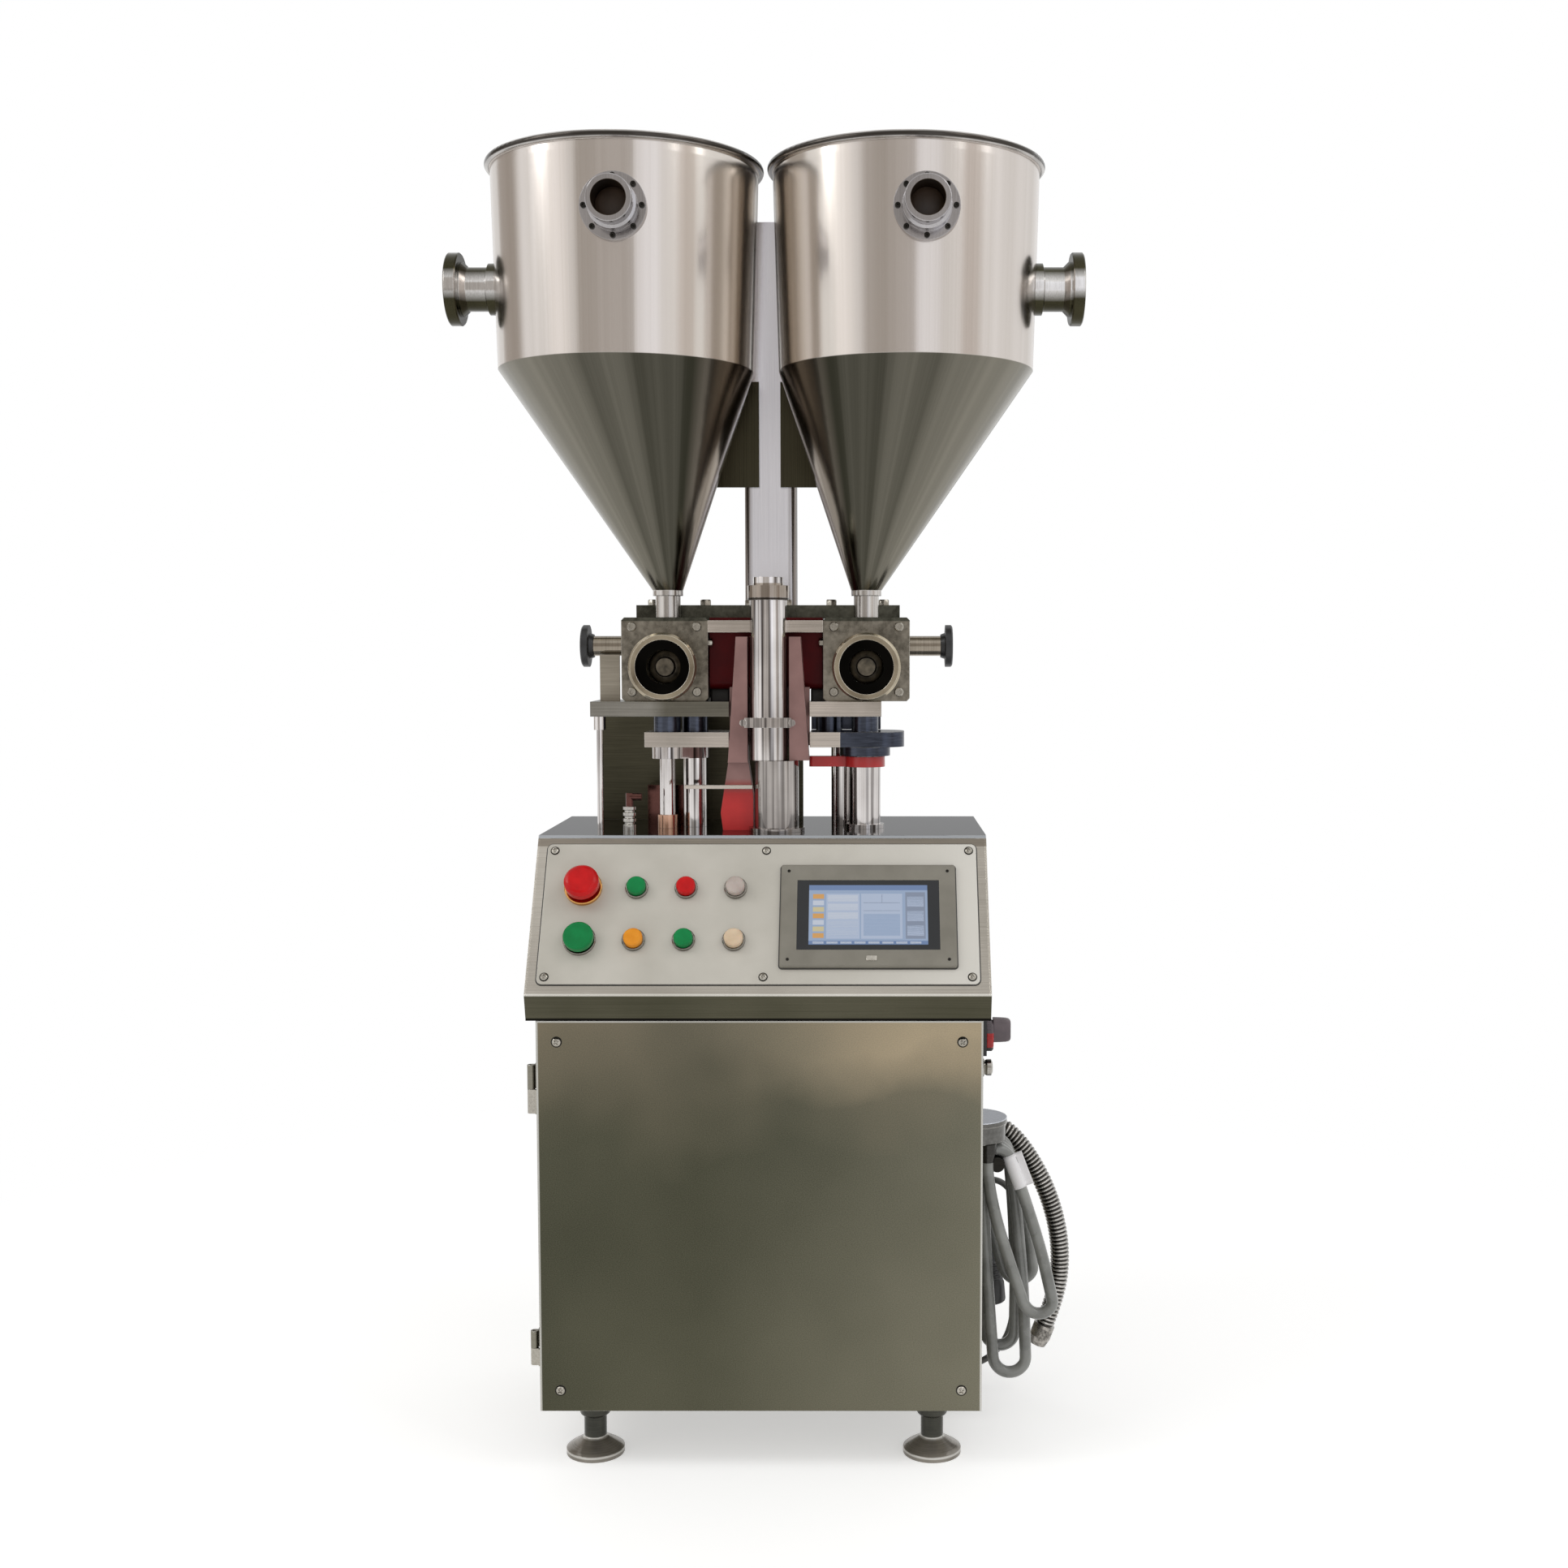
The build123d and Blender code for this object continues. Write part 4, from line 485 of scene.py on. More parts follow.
def round_slab(w, h, r, low, high, soft):
    """Slab of that outline from low to high, its upper edge taken off by soft."""
    outer, eased, inner = (round_corners(w - 2 * cut, h - 2 * cut, r - cut) for cut in (0, soft * 0.3, soft))
    return stacked([(outer * 0, low), (outer, low), (outer, high - soft), (eased, high - soft * 0.3),
                    (inner, high), (inner * 0, high)])


panel_satin, shader, where = new_finish("panel_satin")
stain = cloudy(where, 9.0, 6.0)
rim = edge_of(where, 0.0016)
satin = tint_between(stain, (180, 176, 165), (200, 196, 186))
# Painted reflection: lighter to the right.
reflection_to_right = stretch_range(along(where, "X"), 0.08, 0.27, 0.0, 0.8)
satin = tint_between(reflection_to_right, satin, (218, 215, 207))
# Edges lightened as wear and as painted highlight.
feed_node(shader, Roughness=value_between(stain, 0.36, 0.48), Metallic=0.2,
          Base_Color=tint_between(worked("MULTIPLY", rim["Mask"], 0.6), satin, edge_wear_and_highlight_tint),
          Normal=dented(speckle(where, 1400.0, 2.0), rim["Normal"], 0.05))
dress(panel_satin, "control_panel")
gasket_rubber = moulded("gasket_rubber", (40, 39, 36), (58, 56, 52), 0.5)
gasket = round_slab(panel_w + gasket_grow, panel_h + gasket_grow, panel_corner_r + gasket_grow / 2,
                    0, 0.0008, 0.0003)
grid_piece("panel_gasket", set_out(gasket, [on_slope(0, panel_mid_s, 0)], off_slope), gasket_rubber)


# Push buttons: glossy caps in metal collars, a large mushroom stop in a yellow collar and a large green
# start. The caps are coloured plastic that lets a little light in.
def glossy_cap(name, low, high, milk):
    """Coloured cap plastic with a weak gloss, and a little light scattered below the skin."""
    material, shader, where = new_finish(name)
    cloud = cloudy(where, 60.0)
    feed_node(shader, Base_Color=tint_between(cloud, low, high), Specular_IOR_Level=0.2,
              Roughness=value_between(cloud, 0.16, 0.26), Subsurface_Weight=milk,
              Subsurface_Scale=0.003, Normal=edge_of(where, 0.0006)["Normal"])
    return material


stop_right_x = -0.195
stop_low_z = 0.715
dress(glossy_cap("red_cap", (184, 10, 14), (206, 20, 22), 0.08), "emergency_stop", "red_button")
dress(glossy_cap("green_cap", (0, 116, 58), (6, 134, 70), 0.08), "start_button", "green_button",
      "lower_green_button")
dress(glossy_cap("amber_cap", (222, 138, 28), (236, 158, 48), 0.12), "amber_button")
dress(glossy_cap("clear_cap", (170, 156, 148), (192, 180, 172), 0.15), "clear_button")
dress(glossy_cap("cream_cap", (204, 180, 150), (222, 200, 172), 0.15), "cream_button")
stop_collar = (joined("MULTIPLY", within("X", high=stop_right_x), within("Z", stop_low_z)),
               (186, 128, 66), (222, 168, 98))
dress(metal("collar_metal", (84, 80, 74), (150, 145, 136), 0.1, 0.2, waves=(600, 600, 600), edge=0.0004,
            patches=[stop_collar]), "button_collars")

# Touch screen: a grey moulded bezel with four corner screws and a bare plate, on a dark gasket, with black
# glass and a pale blue picture of plain boxes without words.
screen_x = 0.137
screen_s = 0.1055
bezel_w = 0.222
bezel_h = 0.141
bezel_top = 0.009
glass_top = 0.0086
bezel_screw_x = 0.101
bezel_screw_s = 0.061
picture_w = 0.150
picture_h = 0.082
tile_t = 0.0002
dress(moulded("bezel_plastic", (118, 114, 103), (132, 128, 117), 0.42, edge=0.0012), "hmi_bezel")
glass, shader, where = new_finish("screen_glass")
smear = speckle(where, 18.0, 4.0)
feed_node(shader, Base_Color=tint_between(smear, (8, 10, 13), (22, 25, 30)),
          Roughness=stretch_range(smear, 0.3, 0.7, 0.06, 0.16))
dress(glass, "hmi_screen")
bezel_gasket = round_slab(bezel_w + gasket_grow, bezel_h + gasket_grow, 0.005, 0.002, 0.0032, 0.0003)
grid_piece("bezel_gasket", set_out(bezel_gasket, [on_slope(screen_x, screen_s, 0)], off_slope),
           gasket_rubber)
corner_spots = [on_slope(screen_x + side * bezel_screw_x, screen_s + up * bezel_screw_s, bezel_top)
                for side in (-1, 1) for up in (-1, 1)]
grid_piece("bezel_screws", set_out(thin_disc(0.0020), corner_spots, off_slope), black_oxide)
bare_plate = round_slab(0.013, 0.007, 0.0008, 0, 0.0007, 0.0002)
plate_spot = on_slope(screen_x + 0.004, screen_s - 0.0595, bezel_top)
grid_piece("bezel_plate", set_out(bare_plate, [plate_spot], off_slope), nickel)

pale_blue = (160, 180, 210)
mist_blue = (186, 200, 224)
off_white = (208, 216, 230)
bar_blue = (112, 138, 182)
slate = (140, 152, 174)
orange = (226, 168, 92)
straw = (216, 204, 160)
boxes = [(0, 0, 150, 82, pale_blue), (0, 75, 150, 7, bar_blue), (0, 0, 150, 5, bar_blue),
         (22, 8, 42, 62, mist_blue), (66, 8, 52, 62, mist_blue), (122, 8, 25, 64, slate)]
boxes += [(5, 9 + 9 * row, 14, 6.5, (orange, straw, off_white)[row % 3]) for row in range(7)]
boxes += [(24, 11 + 12 * row, 38, 9, off_white) for row in range(5)]
boxes += [(69, 46, 46, 0.8, slate), (69, 57, 46, 0.8, slate), (92, 57, 0.8, 12, slate),
          (69, 12, 46, 30, pale_blue)]
boxes += [(124, 12 + 20 * row, 21, 14, mist_blue) for row in range(3)]
boxes += [(5 + 17.5 * row, 1, 14, 3, off_white) for row in range(8)]
corner = np.array([[0, 0], [1, 0], [1, 1], [0, 1]])
spans = np.array([box[:4] for box in boxes])[:, None]
flat = (spans[..., :2] + corner * spans[..., 2:]) / 1000 - [picture_w / 2, picture_h / 2]
levels = glass_top + tile_t * np.array([(-1, 1)] + [(-1, 2)] * (len(boxes) - 1))
tile_points = on_slope(screen_x + flat[:, None, :, 0], screen_s + flat[:, None, :, 1], levels[:, :, None])
box_faces = np.array([[3, 2, 1, 0], [4, 5, 6, 7], [0, 1, 5, 4], [1, 2, 6, 5], [2, 3, 7, 6], [3, 0, 4, 7]])
tile_faces = (box_faces[None] + 8 * np.arange(len(boxes))[:, None, None]).reshape(-1, 4)
lit, shader, where = new_finish("lit_picture")
hue = shader_node("Attribute", {}, where.id_data, attribute_name="hue").outputs["Color"]
feed_node(shader, Base_Color=(0.01, 0.01, 0.012, 1), Roughness=0.12, Emission_Color=hue,
          Emission_Strength=0.72)
mesh = bpy.data.meshes.new("screen_picture")
mesh.from_pydata(tile_points.reshape(-1, 3).tolist(), [], tile_faces.tolist())
hues = mesh.attributes.new("hue", "FLOAT_COLOR", "FACE")
hues.data.foreach_set("color", np.repeat([seen(box[4]) for box in boxes], 6, axis=0).ravel())
mesh.materials.append(lit)
placed("screen_picture", mesh)

# Right wall: a rotary mains switch with a red disc and a grey grip, a chromed air fitting and dark glands,
# the half-round cable entry box with its polished lid, whose top is bright with a painted highlight, and the
# bar that the cable hangs on.
switch_y = -0.100
switch_z = 0.548
disc_front_x = 0.3003
disc_r = 0.021
disc_t = 0.009
grip_out = 0.023
grip_w = 0.017
grip_up = 0.023
grip_down = 0.009
gland_front_y = -0.080
lid_top_z = 0.422
out_of_wall = (1, 0, 0)


def ribbed_disc():
    """Disc of rings about the shaft, twenty shallow ribs round its side and its front edge taken off."""
    side = circle(160) * disc_r * (0.98 + 0.02 * np.cos(20 * full_turn(160)))[:, None]
    rings = [(0, 0), (1, 0), (1, disc_t - 0.002), (0.92, disc_t), (0, disc_t)]
    return stacked([(share * side, out) for share, out in rings])


def tapered_grip():
    """Grip's rounded outline carried out from the disc, drawn in on the way and rounded off at its end."""
    outline = round_corners(grip_up + grip_down, grip_w, 0.005)
    middle = np.array([(grip_up - grip_down) / 2, 0])
    rings = [(0, 0), (1, 0), (0.98, 0.45), (0.95, 0.75), (0.90, 0.90), (0.80, 0.98), (0.70, 1), (0, 1)]
    return stacked([(middle + share * outline, out * grip_out) for share, out in rings])


grip, shader, where = new_finish("switch_grip")
up_disc = along(where, "Z")
low_disc = tint_between(past(up_disc, switch_z - 0.014), (34, 32, 32), (176, 28, 30))
disc_tint = tint_between(past(up_disc, switch_z + 0.006), low_disc, (92, 82, 86))
cloud = cloudy(where, 60.0)
grip_tint = tint_between(cloud, (92, 82, 86), (112, 100, 104))
on_grip = past(along(where, "X"), disc_front_x)
feed_node(shader, Base_Color=tint_between(on_grip, disc_tint, grip_tint),
          Roughness=value_between(cloud, 0.3, 0.42), Normal=edge_of(where, 0.0025)["Normal"])
disc_spot = [(disc_front_x - disc_t, switch_y, switch_z)]
grip_spot = [(disc_front_x, switch_y, switch_z)]
disc_grid = set_out(ribbed_disc(), disc_spot, out_of_wall, upward)
knob_grid = set_out(tapered_grip(), grip_spot, out_of_wall, upward)
grid_piece("switch_disc", disc_grid, grip, "mains_switch")
knob = grid_piece("switch_knob", knob_grid, grip, "mains_switch")
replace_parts(knob, "mains_switch_grip")
dark_glands = (within("Y", gland_front_y), (48, 47, 45), (76, 75, 72))
dress(metal("wall_chrome", (128, 126, 120), (196, 192, 184), 0.08, 0.16, waves=(300, 300, 300),
            patches=[dark_glands]), "wall_fittings")
# Painted highlight on the lid's top; the box's bright edges are wear and painted highlight.
lid_top_highlight = (within("Z", lid_top_z - 0.0008), (186, 190, 198), (214, 218, 226))
dress(metal("cast_metal", (82, 81, 78), (124, 123, 120), 0.12, 0.22, waves=(200, 200, 200), edge=0.0022,
            edge_wear_and_highlight=0.85, patches=[lid_top_highlight]), "cable_entry_box")
dress(black_oxide, "cable_hanger")

# Control gear inside the cabinet: grey plastic modules with rows of terminals, on galvanised rails and
# plate, and an air manifold on the floor with black valves on an aluminium block.
gear_low_z = 0.220
gear_row_half = 0.055
terminal_pitch = 0.008
terminal_low = 0.023
terminal_high = 0.033
rail_face_y = 0.1535
manifold_top_z = 0.1265
gear, shader, where = new_finish("gear_plastic")
height = along(where, "Z")
from_row = worked("PINGPONG", worked("SUBTRACT", height, gear_low_z), gear_row_half)
band = worked("MULTIPLY", past(from_row, terminal_low), short_of(from_row, terminal_high))
between_screws = worked("PINGPONG", along(where, "X"), terminal_pitch / 2)
terminals = worked("MULTIPLY", band, past(between_screws, terminal_pitch / 4))
case_grey = tint_between(cloudy(where, 25.0), (168, 168, 163), (192, 192, 187))
case_tint = tint_between(terminals, case_grey, (44, 46, 50))
valve_tint = tint_between(past(height, manifold_top_z), (168, 169, 172), (38, 38, 40))
plastic_tint = tint_between(past(height, gear_low_z - 0.02), valve_tint, case_tint)
on_rail = past(along(where, "Y"), rail_face_y)
grain = grain_of(where, (8, 8, 900), (142, 144, 146), (178, 180, 182), 0.3, 0.45, 20.0)
feed_node(shader, Metallic=on_rail, Roughness=grain["Roughness"],
          Base_Color=tint_between(on_rail, plastic_tint, grain["Color"]),
          Normal=dented(terminals, edge_of(where, 0.0012)["Normal"], 0.4, 0.002))
dress(gear, "control_gear")

# Centre column, pillars and plates: ground and chromed bar between machined plates, on a bronze bush, with
# dark spacers between the plates. The column's lower tube is greyer, the bar carries dark streaks of painted
# reflection, and a painted shadow line runs under the column's cap.
collar_low_z = 1.119
collar_high_z = 1.138
cap_shadow_h = 0.003
lower_tube_x = 0.016
lower_tube_reach = 0.040
lower_tube_top_z = 0.906
behind_column_y = -0.003
upper_plate_low_z = 0.955
upper_plate_high_z = 1.0
column_left_x = -0.047
plate_end_x = -0.152
plate_end_fade = 0.020


def dark_reflection_streaks(where):
    """Mask of dark streaks along the bar, painted reflections."""
    return stretch_range(speckle(drawn_out(where, (170, 170, 2)), 1.0, 2.0), 0.47, 0.66)


lower_tube = joined("MULTIPLY", within("Y", high=behind_column_y), within("Z", high=lower_tube_top_z),
                    within("X", high=lower_tube_reach, middle=lower_tube_x))
# Painted light: dark reflection streaks along the bar, and a shadow line under the collar.
bar_patches = [
    (lower_tube, (132, 126, 123), (188, 182, 177)),
    (dark_reflection_streaks, (50, 45, 43), (88, 82, 79)),
    (within("Z", collar_low_z, collar_high_z), (126, 115, 104), (166, 156, 146)),
    (within("Z", collar_low_z - cap_shadow_h, collar_low_z), (44, 40, 36), (66, 61, 56))]
bright_bar = metal("bright_bar", (182, 176, 173), (234, 230, 228), 0.05, 0.12, waves=(700, 700, 5),
                   cloud=14.0, edge_wear_and_highlight=0.6, patches=bar_patches)
dress(bright_bar, "centre_column", "pillars")
upper_plate = within("Z", upper_plate_low_z, upper_plate_high_z)
# The upper plate is darker left of the column and lighter towards its left end.
plate_patches = [
    (joined("MULTIPLY", upper_plate, within("X", high=column_left_x)), (88, 86, 77), (136, 132, 121)),
    (joined("MULTIPLY", upper_plate, ramp("X", plate_end_x + plate_end_fade, plate_end_x)),
     (118, 116, 109), (170, 167, 160))]
dress(metal("plate_steel", (160, 154, 146), (212, 202, 192), 0.14, 0.26, waves=(8, 900, 900), cloud=9.0,
            edge=0.0012, edge_wear_and_highlight=0.6, patches=plate_patches), "support_plates")
dress(metal("crosshead_steel", (150, 146, 138), (186, 181, 172), 0.18, 0.3, waves=(8, 900, 900)),
      "crosshead")
dress(metal("bronze", (188, 142, 116), (226, 188, 164), 0.16, 0.28, waves=(500, 500, 40)), "bronze_bush")
dress(metal("blued_steel", (48, 51, 60), (88, 93, 106), 0.16, 0.3, waves=(60, 60, 500), edge=0.0012),
      "spacer_rings")


# Bracket, lever and actuator: castings under thick brushed paint. The bracket is red-brown and turns bright
# red down its lower leg as a painted highlight, and the actuator sits between the blocks on two black feet,
# whose black also stands for the shade in the gap under it.
def paint(name, low, high, rough, chip=0.5, patch=None, gloss=0.5):
    """Thick brushed paint with an uneven skin, worn to the iron along its edges; a patch as on metal."""
    material, shader, where = new_finish(name)
    cloud = speckle(where, 18.0, 5.0)
    share = stretch_range(cloud, 0.3, 0.7)
    rim = edge_of(where, 0.001)
    patchy = worked("MULTIPLY", rim["Mask"], stretch_range(cloud, 0.4, 0.65))
    worn = worked("MULTIPLY", patchy, chip)
    coat = tint_between(share, low, high)
    if patch:
        mask, patch_low, patch_high = patch
        coat = tint_between(mask(where), coat, tint_between(share, patch_low, patch_high))
    feed_node(shader, Base_Color=tint_between(worn, coat, (170, 158, 150)), Metallic=worn,
              Specular_IOR_Level=gloss, Roughness=value_between(share, rough * 0.8, rough * 1.2),
              Normal=dented(speckle(where, 220.0), rim["Normal"], 0.12, 0.0006))
    return material


leg_top_z = 0.880
leg_full_z = 0.860
# Painted highlight: the lower leg bright red.
red_leg_highlight = (ramp("Z", leg_top_z, leg_full_z), (168, 20, 22), (204, 40, 38))
dress(paint("red_brown_paint", (118, 86, 81), (146, 110, 105), 0.38, patch=red_leg_highlight), "red_bracket")
dress(paint("bright_red_paint", (156, 26, 28), (190, 44, 44), 0.24), "dose_lever")
dress(paint("maroon_paint", (66, 4, 8), (92, 10, 14), 0.45, chip=0.2, gloss=0.12), "rotary_actuator")
plate_top_z = 0.982
foot_x = (-0.0635, 0.0725)
actuator_low, actuator_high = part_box("rotary_actuator")
foot_y = (actuator_low[1] + actuator_high[1]) / 2
# The feet carry the actuator, and their black also stands for the shade in the gap under it.
foot_black = moulded("foot_black", (22, 21, 19), (40, 38, 34), 0.45, grain=120.0, dent=0.1)
actuator_foot = round_slab(0.026, 0.044, 0.003, 0, actuator_low[2] - plate_top_z, 0.001)
feet_spots = [(x, foot_y, plate_top_z) for x in foot_x]
grid_piece("actuator_feet", set_out(actuator_foot, feet_spots, upward), foot_black)

# Guards and air fitting: a dark sheet behind the heads with a small bare bright one beside the valve block,
# and a chromed nipple with a dull brown elbow and valve box.
side_guard_low_z = 0.972
elbow_low_z = 0.843
valve_box_y = 0.025
side_guard = (within("Z", side_guard_low_z), (130, 124, 112), (176, 168, 154))
dress(metal("dark_sheet", (56, 54, 43), (88, 84, 69), 0.28, 0.4, waves=(20, 20, 900), cloud=6.0,
            patches=[side_guard]), "rear_guard")
elbow_and_box = (joined("MAXIMUM", within("Z", elbow_low_z), within("Y", valve_box_y)),
                 (74, 48, 44), (104, 70, 64))
dress(metal("fitting_chrome", (140, 138, 132), (200, 196, 190), 0.08, 0.18, waves=(300, 300, 300),
            patches=[elbow_and_box]), "air_fitting")

# Valve heads: dark machined blocks with warm nickel outlet flanges, painted near black inside the mouths as
# shade, the darker bridge over them, the rotors with their stubs, dark inside the blocks as painted shade,
# and the cylinders behind with their pistons.
outlet_x = 0.135
outlet_z = 1.028
outlet_mouth_r = 0.036
outlet_face_y = -0.045
outlet_lip = 0.006
block_top_z = 1.089
block_side_x = 0.193
dark_bridge = (within("Z", block_top_z), (40, 40, 34), (104, 103, 92))
dress(metal("dark_block", (72, 68, 60), (160, 153, 140), 0.22, 0.36, waves=(150, 150, 150), cloud=16.0,
            edge=0.0016, edge_wear_and_highlight=0.75, dent=0.08, patches=[dark_bridge]), "valve_blocks", "top_bridge")


def length_of(vector):
    """Length of a vector."""
    return shader_node("VectorMath", {0: vector}, operation="LENGTH").outputs["Value"]


def in_bore(axes, spot, r):
    """Mask of a bore of radius r, whose middle line crosses the plane of two axes at a spot."""
    def mask(where):
        aside, above = (worked("SUBTRACT", along(where, axis), at) for axis, at in zip(axes, spot))
        apart = length_of(shader_node("CombineXYZ", {"X": aside, "Y": above}).outputs[0])
        return short_of(apart, r, 0.0002)
    return mask


# Painted shade inside the outlet mouths.
mouths = joined("MAXIMUM", *(in_bore("XZ", (side * outlet_x, outlet_z), outlet_mouth_r + 0.0004)
                             for side in (-1, 1)))
mouth_shade = (joined("MULTIPLY", mouths, within("Y", outlet_face_y + outlet_lip)), (8, 8, 7), (20, 19, 17))
dress(metal("warm_nickel", (124, 114, 97), (198, 187, 165), 0.1, 0.18, waves=(20, 1500, 20), cloud=20.0,
            edge=0.0016, edge_wear_and_highlight=0.8, patches=[mouth_shade]), "outlet_flanges")
# Painted shade on the rotors inside the blocks.
rotor_shade = (within("X", high=block_side_x, middle=0.0), (20, 19, 17), (40, 38, 34))
dress(metal("rotor_steel", (116, 108, 96), (170, 160, 146), 0.08, 0.18, waves=(900, 10, 10), cloud=20.0,
            patches=[rotor_shade]), "valve_rotors")
dress(bright_bar, "pistons", "product_cylinders")
dress(metal("aluminium_tube", (150, 150, 148), (186, 186, 184), 0.3, 0.42), "air_cylinders")
dress(moulded("seal_rubber", (20, 20, 20), (34, 34, 34), 0.6), "piston_seals")

# Valve plugs: dark iron discs with a worn boss, turned from bar and seated in the outlet chambers behind
# the mouths.
chamber_r = 0.023
plug_seat_y = 0.004
plug_profile = [(0, 0.014), (0.0118, 0.014), (0.0135, 0.0125), (0.0135, 0.004), (0.0190, 0.003),
                (0.0222, 0.001), (chamber_r, -0.001), (chamber_r, -0.008), (0, -0.008)]
plug_iron = metal("plug_iron", (60, 57, 51), (124, 115, 100), 0.3, 0.45, waves=(120, 120, 120), cloud=60.0,
                  edge=0.001, dent=0.2)
plug_spots = [(side * outlet_x, plug_seat_y, outlet_z) for side in (-1, 1)]
grid_piece("valve_plugs", set_out(lathe(plug_profile), plug_spots, out_of_cover), plug_iron)


# Machine bolts: socket cap screws in the blocks' corners, small dark ones round the front ports, hexagon
# heads along the bridge, and a nut on each block's inner side.
def hexagon(flat):
    """Hexagon with its sides at that distance: a circle's points pushed out to them."""
    return circle() * (flat / np.cos((full_turn() + np.pi / 6) % (np.pi / 3) - np.pi / 6))[:, None]


def socket_head(r, h):
    """Cap screw head of radius r and height h: a six-sided socket, a flat ring, a bevel, side and foot."""
    socket = hexagon(0.46 * r)
    ring = circle() * r
    return stacked([(socket * 0, 0.3 * h), (socket, 0.3 * h), (socket, h), (ring * 0.84, h),
                    (ring, 0.82 * h), (ring, 0), (ring * 0, 0)])


def hex_head(r, h):
    """Hexagon head of corner radius r and height h, with its upper corners turned off."""
    sides = hexagon(0.866 * r)
    ring = circle() * r
    return stacked([(ring * 0, h), (ring * 0.78, h), (sides, 0.84 * h), (sides, 0), (ring * 0, 0)])


block_face_y = -0.010
block_mid_z = 1.038
block_bolt_reach = 0.0435
bridge_half_w = 0.181
bridge_bolt_y = 0.076
bridge_top_z = 1.112
ring_face_y = -0.1445
ring_bolt_r = 0.0365
port_x = (-0.181, 0.210)
front_port_z = 1.602
nut_spot = (0.077, -0.003, 1.060)
head_spots = [(side * outlet_x + across * block_bolt_reach, block_face_y,
               block_mid_z + up * block_bolt_reach)
              for side in (-1, 1) for across in (-1, 1) for up in (-1, 1)]
bridge_spots = [(bridge_half_w * share, bridge_bolt_y, bridge_top_z)
                for share in (-0.88, -0.48, -0.14, 0.14, 0.48, 0.88)]
port_spots = [(x + ring_bolt_r * math.cos(a), ring_face_y, front_port_z + ring_bolt_r * math.sin(a))
              for x in port_x for a in np.radians(90 + 45 * np.arange(8))]
head_grids = set_out(socket_head(0.0062, 0.0070), head_spots, out_of_cover)
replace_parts(grid_piece("block_bolts", head_grids, nickel), "machine_bolts")
grid_piece("bridge_bolts", set_out(hex_head(0.008, 0.008), bridge_spots, upward), nickel)
grid_piece("port_bolts", set_out(socket_head(0.0036, 0.0030), port_spots, out_of_cover), black_oxide)
side_nuts = [set_out(hex_head(0.0058, 0.006), [nut_spot * np.array([side, 1, 1])], (-side, 0, 0), (0, 1, 0))
             for side in (-1, 1)]
grid_piece("side_nuts", np.concatenate(side_nuts), nickel)

# Hoppers: welded stainless shells, a rolled rim on a barrel over a slanted cone. The barrel is polished warm
# and bright, with broad bands of painted reflection round it and its inner side lighter as painted
# reflection; the cone is dark as painted reflection, lighter on its outer side, with a painted brown
# highlight on its inner side; the rim's bead is greyer with a dark band, both painted reflection; the neck
# is bright again, and the inside is dull.
hopper_y = 0.0385
crease_z = 1.424
cone_foot_z = 1.131
barrel_x = 0.188
neck_x = 0.135
barrel_foot_r = 0.171
neck_r = 0.0205
mouth_z = 1.675
barrel_swell = 0.007
bead_low_z = 1.6870
bead_high_z = 1.6925
hopper, shader, where = new_finish("hopper_steel")
height = along(where, "Z")
up_cone = stretch_range(height, cone_foot_z, crease_z)
up_barrel = stretch_range(height, crease_z, mouth_z)
middle_x = value_between(up_cone, neck_x, barrel_x)
cone_r = value_between(up_cone, neck_r, barrel_foot_r)
shell_r = worked("ADD", cone_r, worked("MULTIPLY", up_barrel, barrel_swell))
out = worked("SUBTRACT", along(where, "X", 0.0), middle_x)
back = worked("SUBTRACT", along(where, "Y"), hopper_y)
from_middle = shader_node("CombineXYZ", {"X": out, "Y": back}).outputs[0]
depth_in_wall = worked("SUBTRACT", shell_r, length_of(from_middle))
above_neck = stretch_range(height, cone_foot_z, cone_foot_z + 0.001)
inside = worked("MULTIPLY", stretch_range(depth_in_wall, 0.0008, 0.0012), above_neck)
unit_share = {0: from_middle, 3: worked("DIVIDE", 1.0, shell_r)}
around = shader_node("VectorMath", unit_share, operation="SCALE").outputs[0]
fine = cloudy(around, 80.0, 2.0)
# Fine polish lines, and broad bands of painted reflection round the shell.
polish_and_sheen = value_between(0.12, stretch_range(speckle(around, 3.2, 4.0), 0.32, 0.68), fine)
outward = along(around, "X")
barrel_polish_and_sheen = tint_between(polish_and_sheen, (188, 180, 172), (214, 207, 202))
# Inner side of the barrel lighter: painted reflection.
barrel_tint = tint_between(stretch_range(outward, -0.35, -0.85), barrel_polish_and_sheen, (216, 209, 201))
# Cone: dark, lighter outwards and with a brown highlight inwards, all painted reflection.
cone_light = stretch_range(worked("ADD", outward, polish_and_sheen), -0.2, 1.7)
cone_dark = tint_between(cone_light, (50, 49, 40), (130, 126, 115))
cone_inner_highlight = tint_between(polish_and_sheen, (112, 101, 90), (180, 169, 156))
cone_tint = tint_between(stretch_range(outward, -0.60, -0.95), cone_dark, cone_inner_highlight)
neck_tint = tint_between(polish_and_sheen, (156, 151, 146), (210, 206, 201))
